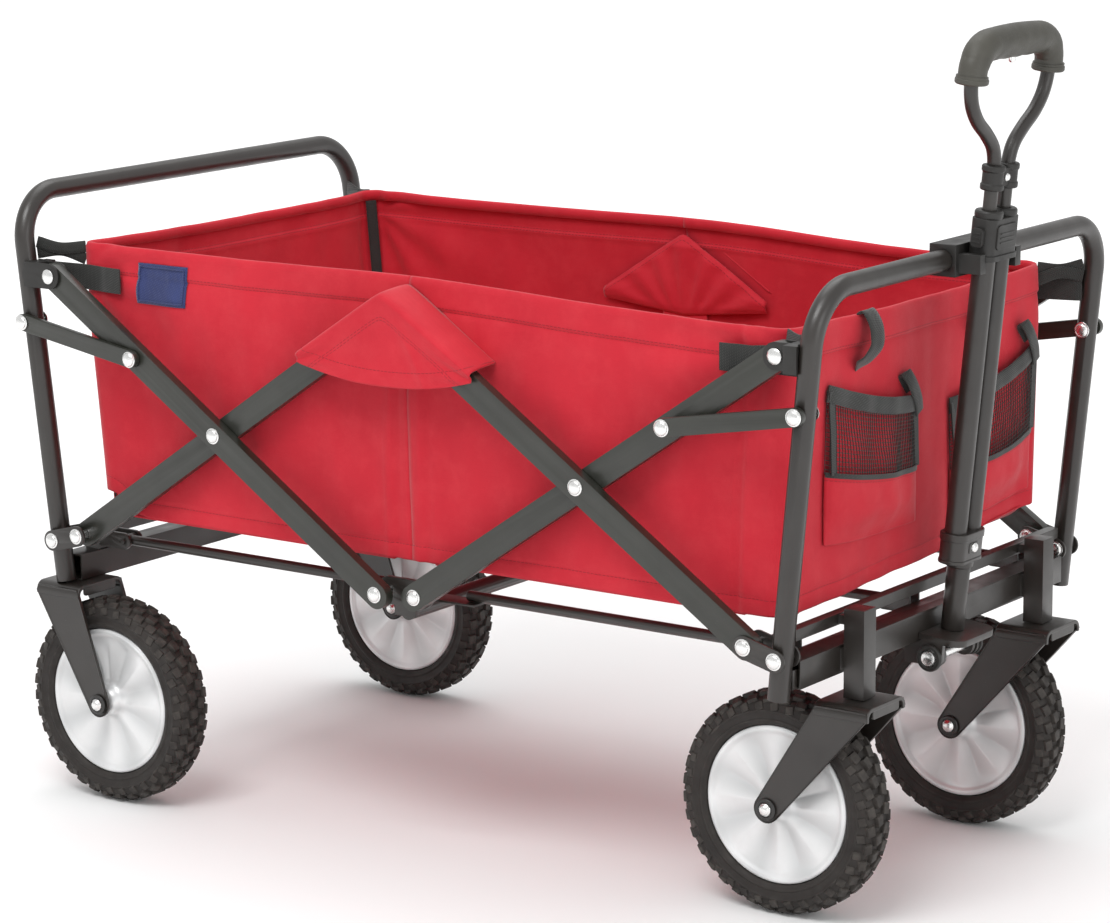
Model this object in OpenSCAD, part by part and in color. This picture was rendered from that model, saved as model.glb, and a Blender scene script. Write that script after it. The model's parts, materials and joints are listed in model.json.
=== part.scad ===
// Folding camp wagon: two leaning end frames joined by crossed side bars, with a fabric basket,
// fixed rear wheels, swivelling front wheels and a tilting, telescoping pull handle.
// Millimetres. +X towards the handle end, -Y the near side, +Z up, ground at Z = 0.

/* [End frames] */
// distance of each leg's foot from the middle of the wagon
leg_foot_x = 406; // [380:1:430]
// height of the rear leg's open end above the ground
rear_foot_z = 214.5; // [205:0.5:230]
// height of the front leg's open end above the ground
front_foot_z = 219; // [205:0.5:230]
// height of the rear push bar's centre line
rear_top_z = 587; // [560:1:600]
// height of the front top bar's centre line
front_top_z = 569; // [550:1:600]
// outward lean of the rear frame, run over rise
rear_lean = 0.118; // [0.05:0.001:0.16]
// outward lean of the front frame, run over rise
front_lean = 0.10; // [0.05:0.001:0.16]
// half the distance between the legs' centre lines
leg_y = 249; // [235:1:260]
// outside diameter of the frame tube
frame_d = 19; // [16:0.5:22]
// wall of the frame tube
frame_wall = 1.5; // [1:0.1:2]
// radius of the bend at the top corners
frame_bend = 48; // [35:1:60]

/* [Crossed side bars] */
// distance of the two bar crossings from the middle of the wagon
mid_x = 205; // [195:1:215]
// height of the bar crossings
mid_z = 380; // [370:1:390]
// angle of the bars above level when the wagon is open
open_deg = 33.9; // [30:0.1:38]
// distance from a crossing to the pivot on the leg bracket
arm_leg = 209.3; // [200:0.1:220]
// distance from a crossing to the pivots on the two hubs
arm_hub = 225.3; // [215:0.1:235]
// distance from a crossing to the top end that rests against the leg
arm_top = 238; // [230:0.5:245]
// width of a bar seen from the side
bar_w = 24; // [20:0.5:28]
// thickness of a bar across the wagon
bar_t = 10; // [8:0.5:12]
// distance from a crossing to the stay's rivet
arm_stay = 114; // [100:1:125]
// height of the stay's rivet on the leg
stay_z = 466.4; // [455:0.1:475]

/* [Wheels] */
// outside radius of a tyre
wheel_r = 100; // [90:1:105]
// radius of the silver disc in the tyre
disc_r = 71; // [65:1:75]
// width of a tyre
tyre_w = 42; // [36:1:46]
// distance of the axles from the middle of the wagon
axle_x = 358; // [345:1:370]
// half the distance between the rear wheels
rear_track_y = 230; // [220:1:235]
// half the distance between the front wheels' swivels
caster_y = 160; // [150:1:170]
// distance of the front swivels from the middle of the wagon
caster_x = 432; // [425:1:440]
// diameter of an axle
axle_d = 8; // [6:0.5:10]

/* [Basket] */
// height of the basket's rim
rim_z = 540; // [530:1:550]
// height of the basket's lower edge
hem_z = 282; // [275:1:290]
// half the basket's width, to the middle of the side cloth
basket_y = 225; // [215:1:228]
// half the basket's length, to the middle of the end cloth
basket_x = 401; // [395:1:404]
// modelled thickness of the cloth walls
cloth_t = 3; // [2:0.5:4]

/* [Floor] */
// height of the floor rods
rail_z = 250; // [245:1:255]
// diameter of a floor rod
rail_d = 10; // [8:0.5:12]
// distance of the rods' hinges from the middle of the wagon
rail_x = 366; // [362:1:370]
// gap between the rods' inner ends and the middle, which lets both halves swing up
rod_gap = 45; // [44:0.5:60]
// gap between a floor half and the middle
floor_gap = 23.5; // [22.5:0.5:30]

/* [Handle] */
// handle's tilt pin, distance from the middle of the wagon
tilt_x = 430; // [425:0.5:440]
// handle's tilt pin, height
tilt_z = 212; // [208:0.5:220]
// lean of the parked handle, degrees
handle_deg = 5.7; // [4:0.1:8]
// half the distance between the two handle tubes
handle_tube_y = 12.5; // [11:0.5:15]

/* [Hidden] */
$fn = 48;
// the whole wagon is shifted by this so the ground point under its middle is the origin
shift_x = -19.27;

steel = [0.16, 0.15, 0.14];
bar_colour = [0.18, 0.18, 0.15];
bright = [0.80, 0.80, 0.80];
red = [0.80, 0.10, 0.17];
black = [0.06, 0.06, 0.06];

hole_play = 0.06;       // radial play of a pin in its hole
pin_r = 4;              // shank radius of the pivot rivets
head_r = 7;             // rivet head radius
head_t = 3;             // rivet head thickness
bar_in = leg_y - 0.5;               // outer face of the inner bar layer
bar_out = leg_y + 0.5 + bar_t;      // outer face of the outer bar layer
in_face = bar_in - bar_t;           // inner face of the inner bar layer
c0 = cos(open_deg);
s0 = sin(open_deg);
leg_pin = [mid_x + arm_leg * c0, mid_z - arm_leg * s0];   // bar pivot by the leg
top_pin = [mid_x + arm_top * c0, mid_z + arm_top * s0];   // loose top end of a bar
hub_x = mid_x - arm_hub * c0;                             // hub pins off the middle
low_hub_z = mid_z - arm_hub * s0;
top_hub_z = mid_z + arm_hub * s0;
stay_pin = [mid_x + arm_stay * c0, mid_z + arm_stay * s0];

function leg_x(z, lean) = leg_foot_x + lean * (z - 220);

// copies the children to both sides of the wagon
module both() { children(); mirror([0, 1, 0]) children(); }

// round bar along Y between two distances from the middle
module y_rod(x, y0, y1, z, r) {
    translate([x, y0, z]) rotate([-90, 0, 0]) cylinder(r = r, h = y1 - y0);
}

// plain box between two corners
module block(a, b) {
    translate(a) cube(b - a);
}

// flat link in the XZ plane between two points, on the near side from y1 out to y0
module link(a, b, w, y0, y1, ea = 0, eb = 0) {
    len = norm(b - a);
    ang = atan2(b[1] - a[1], b[0] - a[0]);
    translate([a[0], -y1, a[1]]) rotate([0, -ang, 0]) rotate([90, 0, 0])
        linear_extrude(y0 - y1) {
            translate([-ea, -w / 2]) square([len + ea + eb, w]);
            translate([-ea, 0]) circle(d = w);
            translate([len + eb, 0]) circle(d = w);
        }
}

// rivet along Y on the near side: shank from y1 out to y0, a head outside each end
module rivet(x, z, y0, y1, r = pin_r, hr = head_r) {
    y_rod(x, -y0 - 0.05, -y1 + 0.05, z, r);
    translate([x, -y0, z]) rotate([90, 0, 0]) {
        cylinder(r = hr, h = head_t * 0.5);
        translate([0, 0, head_t * 0.5 - 0.01]) cylinder(r1 = hr, r2 = hr * 0.6, h = head_t * 0.5);
    }
    y_rod(x, -y1, -y1 + head_t * 0.6, z, hr);
}

// holes for the pins of one bar
module pin_hole(p) {
    y_rod(p[0], -bar_out - 20, -in_face + 20, p[1], pin_r + hole_play);
}

// ---- end frames ----

// leaning U tube with its open feet bored up to the bends
module u_frame(top_z, foot_z, lean) {
    ang = atan(lean);
    L = (top_z - foot_z) / cos(ang);
    difference() {
        translate([leg_x(foot_z, lean), 0, foot_z]) rotate([0, ang, 0]) {
            both() {
                translate([0, -leg_y, 0]) cylinder(d = frame_d, h = L - frame_bend);
                translate([0, -leg_y + frame_bend, L - frame_bend]) rotate([90, 0, -90])
                    rotate_extrude(angle = 90) translate([frame_bend, 0]) circle(d = frame_d);
            }
            translate([0, -leg_y + frame_bend, L]) rotate([-90, 0, 0])
                cylinder(d = frame_d, h = 2 * (leg_y - frame_bend));
        }
        both() translate([leg_x(foot_z, lean), -leg_y, foot_z]) rotate([0, ang, 0])
            translate([0, 0, -3]) cylinder(d = frame_d - 2 * frame_wall, h = L - frame_bend - 5);
        // holes for the bracket rivet and the stay pin
        both() for (z = [leg_pin[1] - 8, stay_z])
            y_rod(leg_x(z, lean), -leg_y - 20, -leg_y + 20, z, pin_r + hole_play);
    }
}

// square tube across the wagon, hollow
module cross_tube(x, z, w, half, wall) {
    difference() {
        block([x - w / 2, -half, z - w / 2], [x + w / 2, half, z + w / 2]);
        block([x - w / 2 + wall, -half - 1, z - w / 2 + wall],
            [x + w / 2 - wall, half + 1, z + w / 2 - wall]);
    }
}

tube_w = 25;
thin_w = 10;
inner_half = leg_y - frame_d / 2 - 0.3;
between_plates = in_face - 5.7;       // clear of the leg brackets and their rivets
rear_tube_z = 226;
rear_thin_z = 247;
front_tube_z = 238;
front_thin_z = 272;
post_w = 20;
lug_r = 8;

// one ear of a floor rod's hinge on the inner side of the thin bar, as drawn for the front end
module rod_ears(tube_x, zc) {
    for (y = [-200, 0, 200]) for (s = [-1, 1])
        difference() {
            union() {
                block([rail_x, y + s * 8 - 1.5, rail_z - lug_r], [tube_x, y + s * 8 + 1.5, rail_z + lug_r]);
                y_rod(rail_x, y + s * 8 - 1.5, y + s * 8 + 1.5, rail_z, lug_r);
            }
            y_rod(rail_x, y + s * 8 - 3, y + s * 8 + 3, rail_z, 2.5 + hole_play);
        }
}

module rear_u_frame() color(steel) mirror([1, 0, 0]) u_frame(rear_top_z, rear_foot_z, rear_lean);
module front_u_frame() color(steel) u_frame(front_top_z, front_foot_z, front_lean);

// fixed lower structure of the rear frame
module rear_cross_bars() color(steel) mirror([1, 0, 0]) {
    cross_tube(leg_x(rear_tube_z, rear_lean), rear_tube_z, tube_w, inner_half, 1.6);
    block([leg_foot_x - 3, -between_plates, rear_thin_z + 2], [leg_foot_x + 7, between_plates, rear_thin_z + 12]);
    both() block([leg_foot_x - 9, -200 - post_w / 2, rear_tube_z + tube_w / 2],
        [leg_foot_x + 9, -200 + post_w / 2, rear_thin_z + 2]);
    rod_ears(leg_foot_x - 3, rear_thin_z + 7);
    // welds the ears to the cross tube
    for (y = [-200, 0, 200]) block([leg_foot_x - 6, y - 9.5, rail_z - lug_r], [leg_foot_x - 2, y + 9.5, rear_thin_z + 3]);
    both() block([leg_foot_x - 6, -9.5, rear_tube_z + tube_w / 2 - 0.5], [leg_foot_x - 2, 0.01, rail_z - lug_r + 0.01]);
}

// fixed lower structure of the front frame: tube, thin bar, swivel posts, handle lug
module front_cross_bars() color(steel) {
    tx = leg_x(front_tube_z, front_lean);
    cross_tube(tx - 3, front_tube_z, tube_w, between_plates, 1.6);
    // end lugs that weld the tube to the legs below the brackets
    both() block([tx - 12, -inner_half, front_tube_z - 12], [tx + 6, -between_plates + 4, front_tube_z + 5]);
    block([leg_foot_x - 3, -between_plates, front_thin_z - thin_w / 2],
        [leg_foot_x + 7, between_plates, front_thin_z + thin_w / 2]);
    both() difference() {
        union() {
            block([caster_x - post_w / 2, -caster_y - post_w / 2, 205],
                [caster_x + post_w / 2, -caster_y + post_w / 2, front_thin_z + 12]);
            // tabs that weld the post to the tube and to the thin bar
            block([tx + 8, -caster_y - 8, front_tube_z - 10], [caster_x, -caster_y + 8, front_tube_z + 10]);
            block([leg_foot_x, -caster_y - 4, front_thin_z - 4], [caster_x, -caster_y + 4, front_thin_z + 4]);
        }
        translate([caster_x, -caster_y, 200]) cylinder(r = 6 + hole_play, h = 45);
    }
    rod_ears(tx - tube_w / 2 - 2.5, front_tube_z);
    // ears of the handle's tilt pin, below the tube
    for (s = [-1, 1]) difference() {
        union() {
            block([tx - 8, s * 26 - 2.5, tilt_z - 9], [tilt_x, s * 26 + 2.5, front_tube_z - tube_w / 2 + 0.3]);
            y_rod(tilt_x, s * 26 - 2.5, s * 26 + 2.5, tilt_z, 10);
        }
        y_rod(tilt_x, s * 26 - 4, s * 26 + 4, tilt_z, 5 + hole_play);
    }
}

// plates that carry the lower bar pivots, as drawn for the front end
module leg_brackets(lean) {
    z1 = leg_pin[1] - 8;
    both() for (y = [[bar_out + 3, bar_out + 0.5], [in_face - 0.5, in_face - 3]])
        difference() {
            link(leg_pin, [leg_x(z1, lean), z1], 20, y[0], y[1]);
            pin_hole(leg_pin);
            pin_hole([leg_x(z1, lean), z1]);
        }
}

// rivets that belong to an end frame: bracket to leg, bar pivot, stay pin
module frame_rivets(lean, bar_outside) {
    z1 = leg_pin[1] - 8;
    both() {
        rivet(leg_pin[0], leg_pin[1], bar_out + 3, in_face - 3);
        // spacer in the bar layer that is empty here
        if (bar_outside) y_rod(leg_pin[0], -bar_in - 0.2, -in_face + 0.2, leg_pin[1], 9);
        else y_rod(leg_pin[0], -bar_out - 0.2, -bar_in - 1.2, leg_pin[1], 9);
        rivet(leg_x(z1, lean), z1, bar_out + 3, in_face - 3);
        rivet(leg_x(stay_z, lean), stay_z, bar_out + 7.5, leg_y - frame_d / 2 - 0.3);
        // spacer between leg and stay
        y_rod(leg_x(stay_z, lean), -bar_out - 0.8, -leg_y - frame_d / 2 - 0.1, stay_z, 6);
    }
}

module rear_brackets() color(steel) mirror([1, 0, 0]) leg_brackets(rear_lean);
module front_brackets() color(steel) leg_brackets(front_lean);
module rear_frame_rivets() color(bright) mirror([1, 0, 0]) frame_rivets(rear_lean, false);
module front_frame_rivets() color(bright) frame_rivets(front_lean, true);

// ---- crossed bars ----

// near bar of an end, as drawn for the front end; slope +1 rises to the front
module cross_bar(outer, falls) {
    y0 = outer ? bar_out : bar_in;
    y1 = y0 - bar_t;
    a = falls ? [hub_x, top_hub_z] : [hub_x, low_hub_z];
    b = falls ? leg_pin : top_pin;
    difference() {
        link(a, b, bar_w, y0, y1, 2);
        pin_hole(a);
        pin_hole(b);
        pin_hole([mid_x, mid_z]);
    }
}

module rear_rising_bars() color(bar_colour) both() mirror([1, 0, 0]) cross_bar(false, true);
module rear_falling_bars() color(bar_colour) both() mirror([1, 0, 0]) cross_bar(true, false);
module front_falling_bars() color(bar_colour) both() cross_bar(true, true);
module front_rising_bars() color(bar_colour) both() cross_bar(false, false);

module mid_rivets() both() {
    rivet(mid_x, mid_z, bar_out + 0.1, in_face - 0.1);
    y_rod(mid_x, -bar_in - 0.9, -bar_in - 0.1, mid_z, 10);
}
module rear_mid_rivets() color(bright) mirror([1, 0, 0]) mid_rivets();
module front_mid_rivets() color(bright) mid_rivets();

// plastic end cap of a bar's loose top end, seated against the leg
module top_cap(lean, outer) {
    y0 = outer ? bar_out : bar_in;
    x1 = leg_x(top_pin[1], lean) - frame_d / 2;
    difference() {
        union() {
            block([top_pin[0] + 14, -bar_out - 2, top_pin[1] - 12], [x1 + 4, -in_face + 2, top_pin[1] + 12]);
            for (y = [y0 + 2.5, y0 - bar_t - 0.3])
                link(top_pin, [top_pin[0] + 22, top_pin[1]], 24, y, y - 2.2);
        }
        // seat for the leg
        translate([leg_x(220, lean), -leg_y, 220]) rotate([0, atan(lean), 0])
            cylinder(r = frame_d / 2 + 1.5, h = 400);
        // clear of the bend as the cap slides up the leg
        block([x1 - 3, -leg_y + frame_d / 2 - 0.5, top_pin[1] - 20], [x1 + 30, -in_face + 10, top_pin[1] + 20]);
        // room for the end of the bar
        y_rod(top_pin[0], -y0 - 0.3, -y0 + bar_t + 0.3, top_pin[1], bar_w / 2 + 0.4);
        y_rod(top_pin[0], -bar_out - 9, -in_face + 9, top_pin[1], pin_r + hole_play);
    }
    rivet(top_pin[0], top_pin[1], y0 + 2.6, y0 - bar_t - 2.6);
}

module rear_top_caps() color(black) both() mirror([1, 0, 0]) top_cap(rear_lean, true);
module front_top_caps() color(black) both() top_cap(front_lean, false);

// ---- hubs ----

hub_plate_in = in_face - 0.8 - 4;
cross_z = rail_z - rail_d / 2 - 9;

module hub_plate(z, drop) {
    difference() {
        union() {
            link([-hub_x, z], [hub_x, z], 26, hub_plate_in + 4, hub_plate_in);
            if (drop > 0) block([-12, -hub_plate_in - 4, z - drop], [12, -hub_plate_in, z]);
        }
        pin_hole([hub_x, z]);
        pin_hole([-hub_x, z]);
    }
}

// lower hub plates with the bar across the wagon that the floor rods rest on
module centre_crossbar() color(steel) {
    both() hub_plate(low_hub_z, 22);
    y_rod(0, -hub_plate_in - 0.01, hub_plate_in + 0.01, cross_z, 8);
    // saddles that the inner ends of the floor rods rest on
    for (y = [-200, 0, 200]) block([-rod_gap - 13, y - 11, rail_z - rail_d / 2 - 2.1],
        [rod_gap + 13, y + 11, rail_z - rail_d / 2 - 0.1]);
}

// rivets of one hub: each carries one bar, with a spacer where the other layer is empty
module hub_rivets(z, left_outer) both() for (s = [-1, 1]) {
    outer = left_outer == (s < 0);
    rivet(s * hub_x, z, outer ? bar_out + 0.1 : bar_in + 0.1, hub_plate_in - 0.05);
    if (outer) y_rod(s * hub_x, -bar_in - 0.7, -in_face + 0.2, z, 9);
}

module bottom_hub_rivets() color(bright) hub_rivets(low_hub_z, true);
module top_hub_plates() {
    color(steel) both() hub_plate(top_hub_z, 0);
    color(bright) hub_rivets(top_hub_z, false);
}

// triangular cloth flap over each top hub
module hub_flaps() color(red) both()
    translate([0, -bar_out - 4.5, 0]) rotate([90, 0, 0]) linear_extrude(2.5)
        polygon([[-12, rim_z - 2], [12, rim_z - 2], [98, 470], [60, 455], [0, 448], [-60, 455], [-98, 470]]);

// ---- stays ----

// short link from the leg to the bar, as drawn for the front end
module stay(lean) both() {
    p = [leg_x(stay_z, lean), stay_z];
    difference() {
        link(stay_pin, p, 16, bar_out + 7, bar_out + 1);
        pin_hole(p);
    }
    // rivet head of the loose joint with the bar
    translate([stay_pin[0], -bar_out - 6.9, stay_pin[1]]) rotate([90, 0, 0])
        cylinder(r1 = head_r, r2 = head_r * 0.6, h = head_t);
}
module rear_stays() color(bar_colour) mirror([1, 0, 0]) stay(rear_lean);
module front_stays() color(bar_colour) stay(front_lean);

// ---- wheels ----

module tyre(x, y) color(black) translate([x, y, wheel_r]) rotate([90, 0, 0])
    rotate_extrude() difference() {
        union() {
            translate([disc_r, -tyre_w / 2 + 5]) square([wheel_r - disc_r - 3, tyre_w - 10]);
            translate([disc_r, -tyre_w / 2 + 2]) square([wheel_r - disc_r - 9, tyre_w - 4]);
            translate([wheel_r - 8, -tyre_w / 2 + 8]) square([8, tyre_w - 16]);
        }
        translate([disc_r - 1, -12]) square([3, 24]);
    }

module disc(x, y) color(bright) translate([x, y, wheel_r]) rotate([90, 0, 0])
    rotate_extrude() {
        r0 = axle_d / 2 + hole_play;
        polygon([[r0, -25], [15, -25], [16, -15], [36, -11], [62, -14.5], [disc_r - 0.5, -14.5],
            [disc_r - 0.5, -11.8], [disc_r + 1.8, -11.8], [disc_r + 1.8, 11.8], [disc_r - 0.5, 11.8],
            [disc_r - 0.5, 14.5], [62, 14.5], [36, 11], [16, 15], [15, 25], [r0, 25]]);
    }

// U-shaped fork in its own frame: crown at cx, axle at ax; arms at y +-30 about yc
module fork(cx, ax, yc, top_z, half_crown) {
    s = ax < cx ? -1 : 1;
    difference() {
        union() {
            block([cx - half_crown, yc - 32, top_z - 5], [cx + half_crown, yc + 32, top_z]);
            for (y = [yc - 28.5, yc + 32]) translate([0, y, 0]) rotate([90, 0, 0]) linear_extrude(3.5) {
                polygon([[cx - s * half_crown, top_z], [cx - s * half_crown, top_z - 14],
                    [ax - s * 11, wheel_r - 8], [ax + s * 9, wheel_r + 9],
                    [cx + s * half_crown, top_z - 22], [cx + s * half_crown, top_z]]);
                translate([ax, wheel_r]) circle(r = 13);
            }
        }
        y_rod(ax, yc - 40, yc + 40, wheel_r, axle_d / 2 + hole_play);
    }
}

module rear_forks() color(steel) both() fork(-leg_foot_x, -axle_x, -rear_track_y, rear_tube_z - tube_w / 2 - 0.4, 27);

module axle(x, y) color(bright) {
    y_rod(x, y - 34, y + 34, wheel_r, axle_d / 2);
    for (s = [-1, 1]) translate([x, y + s * 32.3, wheel_r]) rotate([s < 0 ? 90 : -90, 0, 0]) {
        cylinder(r = 9, h = 1.2);
        cylinder(r = 6.5, h = 5.5, $fn = 6);
    }
}
module rear_axles() for (s = [-1, 1]) axle(-axle_x, s * rear_track_y);

module rear_tyre_near() tyre(-axle_x, -rear_track_y);
module rear_tyre_far() tyre(-axle_x, rear_track_y);
module rear_disc_near() disc(-axle_x, -rear_track_y);
module rear_disc_far() disc(-axle_x, rear_track_y);

module caster_fork(s) color(steel) {
    fork(caster_x, axle_x, s * caster_y, 204.3, 27);
    translate([caster_x, s * caster_y, 204]) cylinder(r = 6, h = 36);
}
module caster_fork_near() caster_fork(-1);
module caster_fork_far() caster_fork(1);
module caster_axle_near() axle(axle_x, -caster_y);
module caster_axle_far() axle(axle_x, caster_y);
module front_tyre_near() tyre(axle_x, -caster_y);
module front_tyre_far() tyre(axle_x, caster_y);
module front_disc_near() disc(axle_x, -caster_y);
module front_disc_far() disc(axle_x, caster_y);

// ---- basket ----

h2 = cloth_t / 2;
module rear_panel() color(red)
    block([-basket_x - h2, -basket_y - h2, hem_z], [-basket_x + h2, basket_y + h2, rim_z]);
module front_panel() color(red)
    block([basket_x - h2, -basket_y - h2, hem_z], [basket_x + h2, basket_y + h2, rim_z]);
module side_panel() block([-basket_x + h2 + 0.2, -basket_y - h2, hem_z], [basket_x - h2 - 0.2, -basket_y + h2, rim_z]);
module side_panel_near() color(red) side_panel();
module side_panel_far() color(red) mirror([0, 1, 0]) side_panel();

// plain patch sewn on the near side
module side_patch() color([0.1, 0.12, 0.35])
    block([-322, -basket_y - h2 - 1.4, 490], [-262, -basket_y - h2 - 0.1, 528]);

module rear_straps() color(black) both()
    block([-396, -basket_y - h2 - 2.4, 496], [-338, -basket_y - h2 - 0.1, 520]);
module front_straps() color(black) {
    both() block([332, -basket_y - h2 - 2.4, 490], [396, -basket_y - h2 - 0.1, 514]);
    for (y = [-110, 110]) block([basket_x + h2 + 0.1, y - 16, 490], [basket_x + h2 + 2.5, y + 16, rim_z - 2]);
    for (y = [-40, 170]) block([basket_x + h2 + 0.1, y - 11, 440], [basket_x + h2 + 2.5, y + 11, 474]);
}

// shallow open-topped pocket on the front panel
module pocket(y0, y1) {
    x0 = basket_x + h2 + 0.1;
    difference() {
        block([x0, y0, 306], [x0 + 15, y1, 432]);
        block([x0 + 1.2, y0 + 1.5, 308], [x0 + 13.5, y1 - 1.5, 440]);
    }
}
module pocket_left() color(red) pocket(-164, -12);
module pocket_right() color(red) pocket(50, 200);

// ---- floor ----

module floor_rods() {
    for (y = [-200, 0, 200]) {
        translate([rod_gap, y, rail_z]) rotate([0, 90, 0]) cylinder(d = rail_d, h = rail_x - rod_gap);
        y_rod(rail_x, y - 6, y + 6, rail_z, 6);
        // pin in the ears
        y_rod(rail_x, y - 12, y + 12, rail_z, 2.5);
    }
}
module rear_floor_rods() color(steel) mirror([1, 0, 0]) floor_rods();
module front_floor_rods() color(steel) floor_rods();

module floor_half() block([floor_gap, -basket_y + h2 + 1, hem_z - 1], [rail_x - 11, basket_y - h2 - 1, hem_z + 2]);
module floor_rear() color(red) mirror([1, 0, 0]) floor_half();
module floor_front() color(red) floor_half();
// strip of cloth between the two floor halves
module floor_centre() color(red)
    block([-floor_gap + 1.5, -basket_y + h2 + 1, hem_z - 1], [floor_gap - 1.5, basket_y - h2 - 1, hem_z + 2]);

// ---- handle ----

// puts the children, drawn upright over the tilt pin, into the parked pose
module parked() translate([tilt_x, 0, tilt_z]) rotate([0, handle_deg, 0]) children();

collar_z0 = 84;     // all measured along the handle from the tilt pin
collar_z1 = 112;
latch_z0 = 358;
latch_z1 = 400;

module handle_foot() color(steel) parked() {
    difference() {
        union() {
            block([-14, -35, 14], [14, 35, 20]);
            block([14, -21, 14], [28, 21, 20]);
            for (s = [-1, 1]) translate([14, s * 21, 14]) cylinder(r = 14, h = 6);
            for (s = [-1, 1]) {
                block([-11, s * 32.5 - 2.5, -2], [11, s * 32.5 + 2.5, 15]);
                y_rod(0, s * 32.5 - 2.5, s * 32.5 + 2.5, 0, 11);
            }
        }
        y_rod(0, -50, 50, 0, 5 + hole_play);
    }
}
module handle_bolt() color(bright) parked() {
    y_rod(0, -38, 38, 0, 5);
    for (s = [-1, 1]) {
        translate([0, s * 35.3, 0]) rotate([s < 0 ? 90 : -90, 0, 0]) {
            cylinder(r = 11, h = 2.5);
            cylinder(r = 7.5, h = 6);
        }
    }
}
module handle_lower_tube() color(steel) parked() difference() {
    translate([0, 0, 20.1]) cylinder(r = 10.5, h = collar_z0 - 20.3);
    translate([0, 0, 19]) cylinder(r = 9, h = collar_z0);
}
module handle_outer_tubes() color(steel) parked() {
    // collar that joins one tube to two
    block([-12, -24, collar_z0], [12, 24, collar_z1]);
    for (s = [-1, 1]) difference() {
        translate([0, s * handle_tube_y, collar_z1]) cylinder(r = 10, h = latch_z0 - collar_z1 - 0.2);
        translate([0, s * handle_tube_y, collar_z1 + 4]) cylinder(r = 6.3 + hole_play, h = 400);
    }
}
module latch_body() color(black) parked() difference() {
    block([-13, -27, latch_z0], [13, 27, latch_z1]);
    for (s = [-1, 1]) translate([0, s * handle_tube_y, latch_z0 - 1])
        cylinder(r = 6.3 + hole_play, h = 60);
    block([-6, -30, latch_z0 + 12], [6, -20, latch_z0 + 30]);
}
module latch_button() color(black) parked()
    block([-5.5, -31, latch_z0 + 12.5], [5.5, -25, latch_z0 + 29.5]);

clamp_z = 430;
grip_z = 548;
grip_half = 67;
module half_loop(s) {
    // rod in the tube, then out to the grip in three straight runs
    rod = 6.3;
    translate([0, s * handle_tube_y, collar_z1 + 20]) cylinder(r = rod, h = clamp_z - collar_z1 - 8);
    translate([0, s * handle_tube_y, clamp_z + 12]) sphere(r = rod + 0.2);
    loop_run([0, s * handle_tube_y, clamp_z + 12], [0, s * 15, clamp_z + 24], rod);
    loop_run([0, s * 15, clamp_z + 24], [0, s * 58, clamp_z + 60], rod);
    loop_run([0, s * 58, clamp_z + 60], [0, s * grip_half, grip_z - 24], rod);
}
// straight round run between two points in the YZ plane, with a ball at its end
module loop_run(a, b, r) {
    v = b - a;
    translate(a) rotate([-atan2(v[1], v[2]), 0, 0]) cylinder(r = r, h = norm(v));
    translate(b) sphere(r = r + 0.2);
}
module handle_loop() color(steel) parked() {
    for (s = [-1, 1]) half_loop(s);
    block([-9, -23, clamp_z - 9], [9, 23, clamp_z + 9]);
}
module handle_grip() color([0.25, 0.25, 0.22]) parked() difference() {
  union() {
    translate([0, -54, grip_z]) rotate([-90, 0, 0]) cylinder(r = 13, h = 108);
    for (s = [-1, 1]) {
        translate([0, s * 54, grip_z]) sphere(r = 13.3);
        translate([0, s * 54, grip_z]) rotate([-s * 150, 0, 0]) cylinder(r = 13, h = 24);
        translate([0, s * 66, grip_z - 20.78]) sphere(r = 13.3);
    }
  }
  // sockets for the two ends of the loop
  for (s = [-1, 1]) loop_run([0, s * 58, clamp_z + 60], [0, s * grip_half, grip_z - 24], 6.6);
}

// clip on the top bar that holds the parked handle
module keeper_clip() color(black) {
    bx = leg_x(front_top_z, front_lean);
    difference() {
        union() {
            block([bx - 13, -42, front_top_z - 14], [bx + 13, 42, front_top_z + 14]);
            for (s = [-1, 1]) block([bx + 12, s * 31 - 5, front_top_z - 11], [bx + 34, s * 31 + 5, front_top_z + 6]);
        }
        y_rod(bx, -60, 60, front_top_z, frame_d / 2 + 0.1);
        // clear of the handle tubes
        parked() for (s = [-1, 1]) translate([0, s * handle_tube_y, 200]) cylinder(r = 10.6, h = 300);
        parked() block([-10.6, -handle_tube_y, 200], [12, handle_tube_y, 500]);
        // clear of the latch above it
        parked() block([-13.6, -27.6, latch_z0 - 0.6], [40, 27.6, latch_z1]);
    }
}

module placed() translate([shift_x, 0, 0]) children();

placed() rear_u_frame();
placed() rear_cross_bars();
placed() rear_forks();
placed() rear_axles();
placed() rear_brackets();
placed() rear_frame_rivets();
placed() rear_panel();
placed() side_panel_near();
placed() side_panel_far();
placed() rear_straps();
placed() side_patch();
placed() rear_tyre_near();
placed() rear_disc_near();
placed() rear_tyre_far();
placed() rear_disc_far();
placed() rear_rising_bars();
placed() rear_mid_rivets();
placed() rear_falling_bars();
placed() rear_top_caps();
placed() centre_crossbar();
placed() bottom_hub_rivets();
placed() top_hub_plates();
placed() hub_flaps();
placed() front_falling_bars();
placed() front_mid_rivets();
placed() front_rising_bars();
placed() front_top_caps();
placed() front_u_frame();
placed() front_cross_bars();
placed() front_brackets();
placed() front_frame_rivets();
placed() keeper_clip();
placed() front_panel();
placed() pocket_left();
placed() pocket_right();
placed() front_straps();
placed() caster_fork_near();
placed() caster_axle_near();
placed() front_tyre_near();
placed() front_disc_near();
placed() caster_fork_far();
placed() caster_axle_far();
placed() front_tyre_far();
placed() front_disc_far();
placed() handle_foot();
placed() handle_bolt();
placed() handle_lower_tube();
placed() handle_outer_tubes();
placed() latch_body();
placed() handle_loop();
placed() handle_grip();
placed() latch_button();
placed() rear_stays();
placed() front_stays();
placed() rear_floor_rods();
placed() front_floor_rods();
placed() floor_rear();
placed() floor_front();
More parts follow.
